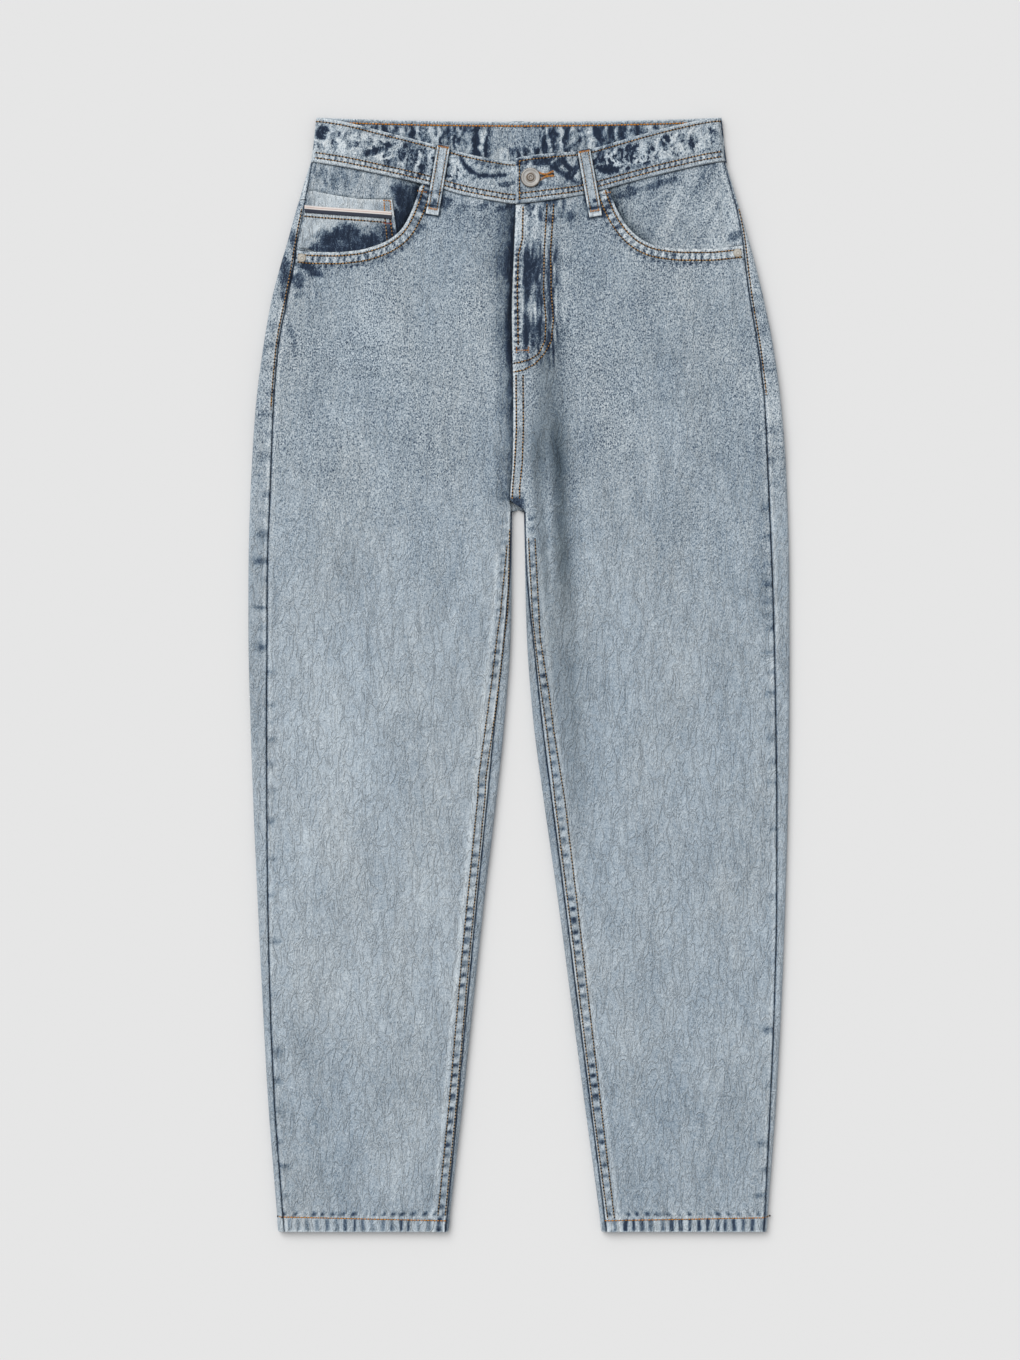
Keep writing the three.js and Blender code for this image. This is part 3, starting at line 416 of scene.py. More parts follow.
def stonewash_group():
    """Turns a wash (tone, grain, mottle) and a soft shade into the colour and relief of the cloth."""
    tree = bpy.data.node_groups.new("stonewash", "ShaderNodeTree")
    for name, kind in (("Wash", "NodeSocketVector"), ("Shade", "NodeSocketFloat"),
                       ("Place", "NodeSocketVector"), ("Grain Size", "NodeSocketFloat"),
                       ("Mottle Size", "NodeSocketFloat")):
        tree.interface.new_socket(name, in_out="INPUT", socket_type=kind)
    tree.interface.new_socket("Color", in_out="OUTPUT", socket_type="NodeSocketColor")
    tree.interface.new_socket("Height", in_out="OUTPUT", socket_type="NodeSocketFloat")
    given = tree.nodes.new("NodeGroupInput").outputs
    split = put(tree, "ShaderNodeSeparateXYZ", Vector=given["Wash"]).outputs
    tone, grain, mottle = split[0], split[1], split[2]
    turned = put(tree, "ShaderNodeMapping", Vector=given["Place"], Scale=(1, 0.66, 1)).outputs[0]
    tall = put(tree, "ShaderNodeMapping", Vector=given["Place"], Scale=(1, 0.37, 1)).outputs[0]
    salt = put(tree, "ShaderNodeTexNoise", Vector=turned, Scale=given["Grain Size"], Detail=3.0,
               Roughness=0.62, Distortion=0.3).outputs["Fac"]
    finer = sums(tree, "MULTIPLY", given["Grain Size"], 1.2)
    fine = put(tree, "ShaderNodeTexNoise", Vector=turned, Scale=finer, Detail=1.0,
               Roughness=0.6).outputs["Fac"]
    vein = put(tree, "ShaderNodeTexNoise", Vector=tall, Scale=150.0, Detail=3.0, Roughness=0.55,
               Distortion=0.9).outputs["Fac"]
    broad = put(tree, "ShaderNodeTexNoise", Vector=tall, Scale=46.0, Detail=2.0, Roughness=0.5,
                Distortion=0.6).outputs["Fac"]
    far = sums(tree, "ABSOLUTE", sums(tree, "MULTIPLY_ADD", vein, 2.0, -1.0))
    ridge = sums(tree, "POWER", sums(tree, "SUBTRACT", 1.0, far), 7.0)
    upright = put(tree, "ShaderNodeMapping", Vector=given["Place"], Scale=(1, 0.55, 1)).outputs[0]
    stray = put(tree, "ShaderNodeTexNoise", Vector=given["Place"], Scale=120.0, Detail=2.0).outputs["Color"]
    bent = put(tree, "ShaderNodeMix", data_type="VECTOR", Factor=0.014, A=upright, B=stray).outputs[1]
    cells = put(tree, "ShaderNodeTexVoronoi", Vector=bent, Scale=given["Mottle Size"],
                feature="DISTANCE_TO_EDGE").outputs["Distance"]
    blot = remapped(tree, cells, 0.05, 0.32, -0.28, 0.62)
    patch = put(tree, "ShaderNodeTexNoise", Vector=given["Place"], Scale=38.0, Detail=1.0).outputs["Fac"]
    thick = sums(tree, "MULTIPLY", blot, sums(tree, "MULTIPLY_ADD", patch, 2.2, -0.35))
    smoothness = sums(tree, "SUBTRACT", 1.0, grain)
    deep = sums(tree, "MAXIMUM", sums(tree, "SUBTRACT", tone, 0.5), 0.0)
    uneven = sums(tree, "SUBTRACT", 1.05, sums(tree, "MULTIPLY", deep, 1.1))
    pepper = remapped(tree, salt, 0.5, 0.66, -0.25, 0.75)
    coarse = sums(tree, "MULTIPLY_ADD", grain, 1.5, 0.12)
    speckle = sums(tree, "MULTIPLY", sums(tree, "SUBTRACT", salt, 0.5), coarse)
    speckle = sums(tree, "MULTIPLY_ADD", pepper, sums(tree, "MULTIPLY", grain, 0.34), speckle)
    speckle = sums(tree, "MULTIPLY_ADD", sums(tree, "SUBTRACT", fine, 0.5), sums(
        tree, "MULTIPLY_ADD", grain, 0.75, 0.42), speckle)
    speckle = sums(tree, "MULTIPLY_ADD", sums(tree, "SUBTRACT", broad, 0.5), 0.2, speckle)
    shade = sums(tree, "MULTIPLY_ADD", speckle, uneven, tone)
    crest = sums(tree, "SUBTRACT", ridge, 0.25)
    dark = sums(tree, "MINIMUM", sums(tree, "MAXIMUM", sums(tree, "SUBTRACT", tone, 0.42), 0.0), 0.4)
    worn = sums(tree, "MULTIPLY_ADD", dark, -0.6, sums(tree, "MULTIPLY", smoothness, -0.1))
    shade = sums(tree, "MULTIPLY_ADD", crest, worn, shade)
    shade = sums(tree, "MULTIPLY_ADD", thick, mottle, shade)
    bite = remapped(tree, shade, 0.46, 0.76, 0.0, 0.22)
    dyed = sums(tree, "MULTIPLY_ADD", bite, sums(tree, "ADD", mottle, 0.3), shade)
    colour = coloured(tree, dyed, WASH_STOPS)
    height = sums(tree, "MULTIPLY", salt, sums(tree, "MULTIPLY_ADD", grain, 0.8, 0.15))
    height = sums(tree, "MULTIPLY_ADD", ridge, sums(tree, "MULTIPLY", smoothness, 1.25), height)
    height = sums(tree, "MULTIPLY_ADD", broad, 0.9, height)
    height = sums(tree, "MULTIPLY_ADD", fine, 0.2, height)
    hue = put(tree, "ShaderNodeTexNoise", Vector=tall, Scale=17.0, Detail=3.0, Roughness=0.6).outputs["Fac"]
    cast = put(tree, "ShaderNodeMix", data_type="RGBA", Factor=put(
        tree, "ShaderNodeMapRange", Value=hue, i1=0.36, i2=0.64).outputs[0])
    cast.inputs[6].default_value = (1.014, 1.0, 0.986, 1)
    cast.inputs[7].default_value = (0.984, 1.0, 1.016, 1)
    tinted = put(tree, "ShaderNodeMix", data_type="RGBA", blend_type="MULTIPLY", Factor=1.0)
    tree.links.new(colour, tinted.inputs[6])
    tree.links.new(cast.outputs[2], tinted.inputs[7])
    shaded = put(tree, "ShaderNodeMix", data_type="RGBA", blend_type="MULTIPLY", Factor=given["Shade"])
    tree.links.new(tinted.outputs[2], shaded.inputs[6])
    shaded.inputs[7].default_value = (0.10, 0.145, 0.165, 1)
    out = tree.nodes.new("NodeGroupOutput")
    tree.links.new(shaded.outputs[2], out.inputs["Color"])
    tree.links.new(height, out.inputs["Height"])
    return tree


stonewash = stonewash_group()


def dress(made, colour, height, strength, distance):
    """Links a colour and a relief into a material's shader."""
    tree = made.node_tree
    shader = tree.nodes["Principled BSDF"]
    bump = put(tree, "ShaderNodeBump", Strength=strength, Distance=distance, Height=height)
    tree.links.new(colour, shader.inputs["Base Color"])
    tree.links.new(bump.outputs["Normal"], shader.inputs["Normal"])


def denim(name, grain_size=960.0, mottle_size=85.0, relief=0.0011):
    """Washed denim: dry, matt, with the relief of its grain and crinkles."""
    made = material(name, 0.92, 0.12)
    tree = made.node_tree
    tree.nodes["Principled BSDF"].inputs["Sheen Weight"].default_value = 0.08
    wash = put(tree, "ShaderNodeAttribute", attribute_name="wash").outputs["Vector"]
    place = tree.nodes.new("ShaderNodeTexCoord").outputs["Object"]
    shade = put(tree, "ShaderNodeAttribute", attribute_name="shade").outputs["Fac"]
    cloth = put(tree, "ShaderNodeGroup", node_tree=stonewash, Wash=wash, Shade=shade, Place=place,
                Grain_Size=grain_size, Mottle_Size=mottle_size)
    dress(made, cloth.outputs["Color"], cloth.outputs["Height"], 1.0, relief)
    return made


leg_denim = denim("washed_denim")
inside_denim = denim("denim_inside")
DENIM_SIDES = [leg_denim, inside_denim]
band_denim = denim("band_denim", mottle_size=120.0)
BASE_TONE = {"right": 0.345, "left": 0.365}


def front_edge(side, down):
    """u of a front's inner edge: the centre front, the slant under the crotch seam, then the inseam."""
    middle = SIGN[side] * curve(CENTRE_FRONT, 1, down)
    return np.where(down < CROTCH - 10, middle,
                    middle + (section(side, "inseam", down) - middle) * smooth(CROTCH - 10, CROTCH + 2, down))


def pocket_path(side):
    """The pocket's edge as x, down points about 2.5 mm apart."""
    mouth = MOUTH[side]
    run = np.concatenate([[0], np.cumsum(np.hypot(*np.diff(mouth, axis=0).T))])
    rows = np.column_stack([run, mouth])
    at = np.linspace(0, run[-1], int(run[-1] / 2.5))
    return np.column_stack([SIGN[side] * curve(rows, 1, at), curve(rows, 2, at)])


# Where dye is left on the fronts, with painted shade beside the left thigh's fold (the first left row) and
# along the left leg's outer edge where it rolls away (the last left row): x, down, half length, half width,
# lean, depth
FRONT_DYE_AND_SHADE = {
    "right": [
        (-187, 138, 15, 4.6, 68, 0.38), (-199, 148, 7, 5.4, 30, 0.42), (-197, 162, 3, 4, 60, 0.26),
        (-206, 190, 26, 3, 10, 0.2), (-64, 77, 5, 6, 70, 0.4), (-50, 81, 3, 8, 12, 0.26),
        (-33, 81, 3, 6, 4, 0.3), (-14, 84, 4, 5, 0, 0.34),
        (-40, 92, 16, 30, 0, 0.08), (-87, 76, 12, 4.6, 25, 0.5), (-92, 96, 9, 3, 40, 0.24),
        (-180, 560, 110, 50, 0, -0.05), (-100, 930, 50, 40, 0, -0.05),
    ],
    "left": [
        (44, 330, 100, 12, 5, 0.06), (82, 79, 12, 4.4, -25, 0.46), (90, 94, 9, 3, -42, 0.22),
        (53, 270, 60, 9, 4, -0.07), (50, 96, 10, 10, 0, 0.07), (62, 130, 60, 20, 0, 0.05),
        (75, 570, 90, 26, 0, -0.07), (170, 560, 110, 30, 0, -0.04), (120, 930, 50, 60, 0, -0.05),
        (222, 330, 160, 12, 0, 0.06),
    ],
}
# Painted shade on the fronts, beside the fly and in the hollows by the left thigh's folds (two rows of
# negative depth thin it to a painted highlight on the ridges), and the faint whiskers of the wash across
# the hips: x, down at each end, half width, depth
FRONT_SHADE = {
    "right": [(-9, 70, -9, 330, 3, 0.3), (-13, 70, -14, 280, 8, 0.12), (-160, 206, -60, 214, 4, 0.1),
              (-168, 226, -50, 240, 5, 0.11), (-172, 250, -80, 262, 5, 0.1), (-180, 280, -90, 290, 6, 0.08)],
    "left": [(30, 195, 34, 330, 12, 0.34), (35, 288, 41, 445, 8, 0.6), (41, 400, 53, 660, 10, 0.28),
             (14, 283, 23, 430, 6.5, 0.42), (19, 205, 21, 330, 9, 0.24), (23, 400, 34, 570, 7, 0.26),
             (15.6, 305, 22, 420, 1.3, -0.12), (25.4, 300, 30, 440, 1.8, -0.14),
             (170, 214, 70, 226, 5, 0.1), (180, 250, 80, 262, 6, 0.09)],
}
# Dye on the fly, in narrow upright streaks: x, down, half length, half width, lean, depth
FLY_DYE = [
    (6.8, 143, 24, 2.6, -2, 0.6), (11.5, 138, 24, 3.6, -6, 0.42), (16.5, 148, 26, 2.6, 0, 0.36),
    (22, 150, 28, 3, 0, 0.26), (28, 148, 30, 3, 0, 0.24), (6.8, 193, 15, 2.6, 0, 0.58),
    (13, 196, 12, 4, 10, 0.38), (19, 191, 8, 4, 0, 0.3), (12.8, 82, 3.2, 1.3, 0, 0.55),
    (19.6, 87, 8, 1.9, 0, 0.42), (28, 92, 3.6, 6, 0, 0.34), (9.8, 98, 18, 1.0, 0, 0.14),
    (45, 90, 5, 5, 0, 0.3), (37, 86, 5, 2, 0, 0.26), (26, 206, 10, 4, 40, 0.2),
    (33, 120, 12, 1.6, 0, 0.16), (3, 96, 24, 5, 0, -0.16), (14.8, 98, 17, 2.2, 0, -0.15),
    (24, 100, 9, 3, 0, -0.1), (12, 173, 6, 9, 0, -0.14),
]
# Short dark bars on a front beside its side seam: down
FRONT_BARS = {
    "right": [500, 529, 545, 561, 583, 606, 634, 668, 701, 742, 790, 842, 868, 895, 922, 945, 972],
    "left": [352, 378, 403, 421, 437, 449, 460, 483, 500, 519, 538, 559, 580, 599, 640, 702, 760, 822, 871,
             924, 948, 971],
}
# x, down of the gathered row along the fly's edge
FLY_EDGE_ROW = [(3.6, 82), (3.1, 110), (-0.7, 125), (-1.6, 158), (-0.7, 205)]


def front_finish(side, x, down):
    """How far sewing raises a front at a place, and its wash and painted shade there."""
    u = SIGN[side] * x
    from_seam = section(side, "seam", down) - u
    from_middle = u - front_edge(side, down)
    from_mouth, mouth_way = beside(x, down, pocket_path(side))
    mouth_way = np.where(down < 58, 0, mouth_way)
    from_band = down - curve(BAND_EDGES[side], 2, x)
    from_hem = LENGTH - down
    hips = 1 - smooth(200, 520, down)
    rise = np.zeros(np.shape(x))
    tone = BASE_TONE[side] + 0.02 * cloud(11, x, down, 60) + 0.012 * cloud(12, x, down, 22)
    tone += 0.06 * hips - 0.02 * smooth(330, 560, down)
    tone += (0.05 + 0.02 * (side == "right")) * smooth(760, 980, down)
    grain = 0.12 + 0.6 * hips * (0.75 + 0.35 * cloud(13, x, down, 42))
    # Blotches of dye, and on the left leg two rows of painted shade
    tone += dabs(x, down, FRONT_DYE_AND_SHADE[side], rough=3.2)

    # The side seam's ditch, and the bars that the wash left across its turnings
    tone += 0.5 * bell(from_seam, 0.9)
    tone -= 0.1 * bell(from_seam - 2.6, 1.4)
    rise -= 0.5 * bell(from_seam, 1.3)
    for n, bar in enumerate(FRONT_BARS[side]):
        reach = 8 + 4 * math.sin(3.1 * n)
        tall = 2.6 + 1.0 * math.sin(5.3 * n)
        depth = (0.23 + 0.08 * math.sin(2.3 * n)) * (1 + 0.6 * smooth(890, 950, bar))
        tone += depth * bell(down - bar, tall) * (1 - smooth(reach * 0.5, reach * 1.4, from_seam))

    # The felled inseam below the crotch, and the crotch seam above it
    fell = smooth(CROTCH - 8, CROTCH + 6, down) * smooth(0, 0.8, from_middle)
    fell *= 1 - smooth(9.5, 12.5, from_middle)
    ladder = pucker(21 if side == "right" else 20, down, 10.0)
    smudge = smooth(0.1, 0.85, ladder) * (0.4 + 0.6 * smooth(-0.4, 0.6, wander(22, down, 26)))
    rise += fell * (0.55 + 0.16 * ladder * bell(from_middle - 5.5, 3))
    tone += fell * (0.03 + 0.8 * smudge - 0.16 * (ladder < -0.2)) * bell(from_middle - 5.6, 2.8, 4)
    tone += np.where(down > CROTCH, 0.5 * bell(from_middle, 0.7), 0)
    tone -= np.where(down > CROTCH, 0.2 * bell(from_middle - 1.5, 0.8), 0)
    tone -= np.where(down > CROTCH + 40, 0.15 * bell(from_middle - 12.2, 1.8), 0)
    if side == "left":
        crotch = smooth(222, 234, down) * (1 - smooth(344, 352, down)) * (1 - smooth(11, 13, from_middle))
        rise += 0.5 * crotch
        tone += crotch * (-0.04 + 0.06 * pucker(23, down, 9.0) * bell(from_middle - 8, 3))
        fly = 1 - smooth(FLY_END + 10, FLY_END + 20, down)
        rise += 0.5 * fly * (1 - smooth(34, 37, u))
        # The dark patch at the foot of the crotch seam: partly the back's dark seam showing between the
        # fronts, partly painted shade of the hollow there
        patch = smooth(340, 343, down) * (1 - smooth(3, 5.5, x))
        tone += patch * (0.6 + 0.1 * cloud(24, x, down, 4))
        above = down < CROTCH - 8
        tone += np.where(above, 0.4 * bell(from_middle, 0.5), 0)
        tone -= np.where(above, 0.32 * bell(from_middle - 1.5, 1.0), 0)
        rise += np.where(above, 0.3 * bell(from_middle - 2, 2), 0)
        knots = smooth(112, 122, down) * (1 - smooth(206, 214, down))
        row_x = np.interp(down, *zip(*[(d, r) for r, d in FLY_EDGE_ROW]))
        knot = np.clip(pucker(25, down, 5.6) + 0.2, -0.2, 1)
        tone += 0.85 * knots * knot * bell(x - row_x + 0.6, 2.7, 4)
        rise += 0.25 * knots * pucker(25, down, 5.4) * bell(x - row_x, 3)
        tone += 1.05 * dabs(x, down, FLY_DYE, seed=29, rough=0.9)
        tone += 0.16 * fly * smooth(108, 126, down) * smooth(6, 9, from_middle) * (1 - smooth(26, 42, u))
        streaks = wander(26, x + 1.6 * cloud(27, x, down, 16), 1.6) + 0.6 * cloud(28, x * 6, down, 9)
        across_fly = smooth(7, 9, from_middle) * (1 - 0.7 * smooth(30, 38, u)) * (1 - smooth(42, 62, u))
        tone += 0.42 * fly * np.clip(streaks, -0.9, 1) * smooth(100, 126, down) * across_fly
    else:
        deep_blue = smooth(60, 110, down) * (1 - 0.75 * smooth(190, 290, down))
        beside_fly = 0.4 * bell(from_middle, 3.0)
        beside_fly += 0.34 * bell(from_middle, 15) * (0.8 + 0.4 * wander(19, down, 14))
        tone += np.where(down < CROTCH - 8, beside_fly, 0) * (0.3 + 0.7 * deep_blue)
        grain = grain * (1 - 0.6 * bell(from_middle, 16))

    # The pocket's edge: two thicknesses, gathered between the two rows
    deep = 1 - smooth(11.5, 13.5, from_mouth)
    gather = pucker(31, mouth_way, 6.0)
    between = bell(from_mouth - 7.3, 3.2, 4)
    rise += deep * (0.5 + 0.22 * gather * between)
    worn = 0.75 + 0.35 * wander(32, mouth_way, 9)
    tone += deep * (-0.04 + 0.62 * np.clip(gather, -0.4, 1) * between)
    tone -= 0.22 * worn * bell(from_mouth - 1.2, 1.4)
    tone += 0.55 * np.clip(pucker(33, mouth_way, 5.2) + 0.15, 0, 1) * bell(from_mouth - 13.0, 2.4)

    # Under the waistband and beside the belt loop: dye under the band in a line and in streaks, a darker tone
    # beside the loop that is partly dye in its ditch and partly painted shade, and painted shade under the
    # band's edge and beside the loop
    tone += 0.18 * bell(from_band, 1.2)
    tone += 0.5 * np.clip(wander(35, x, 3.4), -0.2, 1) * bell(from_band, 8 + 4 * wander(36, x, 6))
    tone += 0.34 * by_loop(side, x, down)
    shade = shadows(x, down, FRONT_SHADE[side])
    shade += 0.4 * bell(from_band, 1.4) + 0.6 * by_loop(side, x, down)
    if side == "right":
        shade += np.where(down < CROTCH - 4, 0.7 * bell(from_middle, 1.3), 0)
    grain = grain * (1 - 0.7 * smooth(0.1, 0.5, shade))

    # The hem: a turning gathered under one row, with slanted roping above it
    slant = x + 0.5 * (from_hem - HEM) * SIGN[side]
    turned = 1 - smooth(HEM - 0.3, HEM + 0.5, from_hem)
    rib = hem_rib(side, x + 0.5 * cloud(44, x, down, 5))
    rope = np.clip(0.2 + pucker(45, slant, 9.0) + 0.8 * wander(46, slant, 4), -0.3, 1.2)
    rise += turned * (0.55 - 0.26 * rib * smooth(0.5, 3, from_hem))
    tone += turned * (-0.12 + 0.56 * rib * smooth(0.2, 1.6, from_hem))
    tone -= 0.12 * bell(from_hem, 1.4)
    over = bell(from_hem - HEM - 4.2, 2.0)
    rise += 0.3 * rope * bell(from_hem - HEM - 5, 4) - 0.35 * bell(from_hem - HEM - 1.6, 1.6)
    tone += 0.42 * rope * over - 0.13 * bell(from_hem - HEM - 1.4, 1.4)
    tone -= 0.08 * np.clip(-pucker(45, slant, 8.0), 0, 1) * bell(from_hem - HEM - 8, 5)
    grain = grain * (1 - 0.4 * turned)
    mottle = 0.25 * bell(from_mouth - 2, 14) * (from_seam < 60)
    return rise, washed(tone, grain, mottle, shade)


EDGE_COLUMNS = [0.0, 0.3, 0.7, 1.2, 1.9, 3.0]
BELOW_POCKET = 165.0  # from here down, the rows of points run straight across
BELOW_FLY = 320.0  # from here down, they lie further apart
BAND_LOW = 78.0  # the band's lower edge at the centre front
ROW_STEP = 1.9
CLOTH = 1.6


def front_grid(side):
    """u, down of a front's points: columns keep their share of the width, and end on the mouth or band."""
    path = pocket_path(side)
    mouth_u, mouth_down = SIGN[side] * path[:, 0], path[:, 1]
    edge = section(side, "seam", mouth_down[0]) - GAP / 2
    keep = (mouth_u < edge - EDGE_COLUMNS[-1] - 1.5) & (
        mouth_down > curve(BAND_EDGES[side], 2, path[:, 0]) + 1)
    tops = list(zip(mouth_u[keep], mouth_down[keep]))
    middle = front_edge(side, BAND_LOW)
    last = middle + EDGE_COLUMNS[-1]
    u = tops[-1][0] - 2.5
    while u > last + 1.5:
        tops.append((u, float(curve(BAND_EDGES[side], 2, SIGN[side] * u)) + GAP))
        u -= 1.7 if u < 38 else 2.8
    tops = np.array(tops)
    # Just inside the two long edges
    seam_tops = [(edge - off, float(np.interp(-(edge - off), -mouth_u, mouth_down))) for off in EDGE_COLUMNS]
    inner_off = -1.4 if side == "right" else 0.0
    middle_top = float(curve(BAND_EDGES[side], 2, SIGN[side] * middle)) + GAP
    middle_tops = [(middle + inner_off + off, middle_top) for off in EDGE_COLUMNS[::-1]]

    def both_edges(down):
        """u just inside the side seam and just inside the inner edge."""
        near = section(side, "seam", down) - GAP / 2
        far = front_edge(side, down) + inner_off * (1 - smooth(CROTCH - 14, CROTCH - 8, down)) + GAP / 2 * (
            inner_off == 0)
        return near, far

    near, far = both_edges(tops[:, 1])
    share = ((near - EDGE_COLUMNS[-1]) - tops[:, 0]) / ((near - EDGE_COLUMNS[-1]) - (far + EDGE_COLUMNS[-1]))

    def row(down):
        near, far = both_edges(np.float64(down))
        body = (near - EDGE_COLUMNS[-1]) + share * ((far + EDGE_COLUMNS[-1]) - (near - EDGE_COLUMNS[-1]))
        return np.concatenate([near - np.array(EDGE_COLUMNS), body, far + np.array(EDGE_COLUMNS[::-1])])

    legs = np.concatenate([
        np.arange(BELOW_POCKET, BELOW_FLY, ROW_STEP), np.arange(BELOW_FLY, LENGTH - 30, 3.0),
        np.arange(LENGTH - 29, LENGTH - 1.5, 1.4), LENGTH - np.array([1.2, 0.7, 0.3, 0.0])])
    lower = np.stack([row(d) for d in legs])
    tops = np.concatenate([seam_tops, tops, middle_tops])
    # The first few rows follow the cut edge at these distances, square to it
    tangent = np.gradient(tops, axis=0)
    tangent /= np.hypot(*tangent.T)[:, None]
    square = np.column_stack([tangent[:, 1] * -1, tangent[:, 0]])
    square *= np.sign(square[:, 1])[:, None]
    offsets = [0.0, 0.3, 0.7, 1.2, 2.0, 3.4]
    fade = np.ones(len(tops))
    fade[:len(seam_tops)] = 0
    fade[-len(middle_tops):] = 0
    direction = square * fade[:, None] + np.array([0, 1.0]) * (1 - fade[:, None])
    near_rows = [tops + direction * off for off in offsets]
    count = int((BELOW_POCKET - tops[:, 1].min()) / ROW_STEP)
    first = near_rows[-1]
    goal = np.column_stack([row(BELOW_POCKET), np.full(len(tops), BELOW_POCKET)])
    for n in range(1, count):
        near_rows.append(first + (goal - first) * n / count)
    upper_part = np.stack(near_rows)
    u = np.concatenate([upper_part[..., 0], lower])
    down = np.concatenate([upper_part[..., 1], np.broadcast_to(legs[:, None], lower.shape)])
    return u, down


def rolled(distance, radius=0.8):
    """How far the surface drops by a cut or turned edge."""
    lean = np.clip(1 - distance / radius, 0, 1)
    return radius * (1 - np.sqrt(1 - lean ** 2))


def front_surface(side, x, down):
    rise, wash = front_finish(side, x, down)
    at, out = upper(side, SIGN[side] * x, down)
    at[..., 2] += rise
    return at, out, wash


def build_front(side):
    u, down = front_grid(side)
    at, out, wash = front_surface(side, SIGN[side] * u, down)
    rows, cols = u.shape
    gaps = np.full(u.shape, 9.0)
    for n, off in enumerate([0.0, 0.3, 0.7, 1.2]):
        gaps[:, n] = np.minimum(gaps[:, n], off)
        gaps[:, cols - 1 - n] = np.minimum(gaps[:, cols - 1 - n], off)
        gaps[n, :] = np.minimum(gaps[n, :], off)
        gaps[rows - 1 - n, :] = np.minimum(gaps[rows - 1 - n, :], off)
    at[..., 2] -= rolled(gaps)
    inner = at - out * (CLOTH - rolled(gaps))[..., None]
    made = shell("front_" + side + "_cloth", at, inner, wash, DENIM_SIDES)
    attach(made, "root")
    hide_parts("front_" + side)


for side in SIDES:
    build_front(side)

# The sewing: corespun topstitch thread, amber where it is fresh and browner where the wash has worn it,
# in rows of 3 mm stitches that sink a little into the cloth at every needle hole, where a small dark lens
# paints the shade in the hole.
THREAD_PITCH = 3.0
STITCH = (2.4, 1.5, 0.85)
# each needle hole is a dark lens of painted shade, between two stitches
NEEDLE_HOLE_SHADOW = (1.7, 2.1, 0.9)


def thread_material(name, colour, spread):
    """Twisted thread, in two tones that change along the row."""
    made = material(name, 0.75)
    tree = made.node_tree
    place = tree.nodes.new("ShaderNodeTexCoord").outputs["Object"]
    noise = put(tree, "ShaderNodeTexNoise", Vector=place, Scale=170.0, Detail=2.0)
    twist = put(tree, "ShaderNodeTexWave", Vector=place, Scale=900.0, Distortion=1.5)
    tones = coloured(tree, noise.outputs["Fac"], [(0.35, [c * spread for c in colour]), (0.65, colour)])
    dress(made, tones, twist.outputs["Fac"], 0.5, 0.0002)
    return made


amber_thread = thread_material("amber_thread", (208, 134, 30), 0.8)
faded_thread = thread_material("faded_thread", (182, 138, 78), 0.64)
worn_thread = thread_material("worn_thread", (164, 138, 102), 0.6)
# near black: the painted shade in the needle holes
hole_shade = material("needle_hole_shadow", 1.0, 0.0, linear(40, 36, 36))


def sewing_tree():
    """Sets a small lens on every second point of each row, turned along it."""
    tree = bpy.data.node_groups.new("sewn_row", "GeometryNodeTree")
    for name, kind in (("Geometry", "NodeSocketGeometry"), ("Half Pitch", "NodeSocketFloat"),
                       ("Size", "NodeSocketVector"), ("Odd", "NodeSocketInt"), ("Jitter", "NodeSocketFloat"),
                       ("Seed", "NodeSocketInt"), ("Thread", "NodeSocketMaterial")):
        tree.interface.new_socket(name, in_out="INPUT", socket_type=kind)
    tree.interface.new_socket("Geometry", in_out="OUTPUT", socket_type="NodeSocketGeometry")
    given = tree.nodes.new("NodeGroupInput").outputs
    line = put(tree, "GeometryNodeMeshToCurve", Mesh=given["Geometry"])
    marks = tree.nodes.new("GeometryNodeResampleCurve")
    marks.mode = "LENGTH"
    tree.links.new(line.outputs[0], marks.inputs["Curve"])
    tree.links.new(given["Half Pitch"], marks.inputs["Length"])
    along_row = tree.nodes.new("FunctionNodeAlignRotationToVector")
    along_row.axis = "X"
    tree.links.new(tree.nodes.new("GeometryNodeInputTangent").outputs[0], along_row.inputs["Vector"])
    upright = tree.nodes.new("FunctionNodeAlignRotationToVector")
    upright.axis, upright.pivot_axis = "Z", "X"
    tree.links.new(along_row.outputs[0], upright.inputs["Rotation"])
    upright.inputs["Vector"].default_value = (0, 0, 1)
    index = tree.nodes.new("GeometryNodeInputIndex").outputs[0]
    chosen = sums(tree, "COMPARE", sums(tree, "MODULO", index, 2.0), given["Odd"], 0.1)
    least = sums(tree, "SUBTRACT", 1.0, given["Jitter"])
    most = sums(tree, "ADD", 1.0, given["Jitter"])
    uneven = put(tree, "FunctionNodeRandomValue", data_type="FLOAT", i2=least, i3=most, Seed=given["Seed"])
    size = put(tree, "ShaderNodeVectorMath", operation="SCALE", i0=given["Size"])
    tree.links.new(uneven.outputs[1], size.inputs["Scale"])
    lens = put(tree, "GeometryNodeMeshUVSphere", Segments=6, Rings=3, Radius=0.5)
    soft = put(tree, "GeometryNodeSetShadeSmooth", Geometry=lens.outputs["Mesh"])
    spread = put(tree, "GeometryNodeInstanceOnPoints", Points=marks.outputs[0], Selection=chosen,
                 Instance=soft.outputs[0], Rotation=upright.outputs[0], Scale=size.outputs[0])
    whole = put(tree, "GeometryNodeRealizeInstances", Geometry=spread.outputs[0])
    dyed = put(tree, "GeometryNodeSetMaterial", Geometry=whole.outputs[0], Material=given["Thread"])
    tree.links.new(dyed.outputs[0], tree.nodes.new("NodeGroupOutput").inputs[0])
    return tree


sewn_row = sewing_tree()


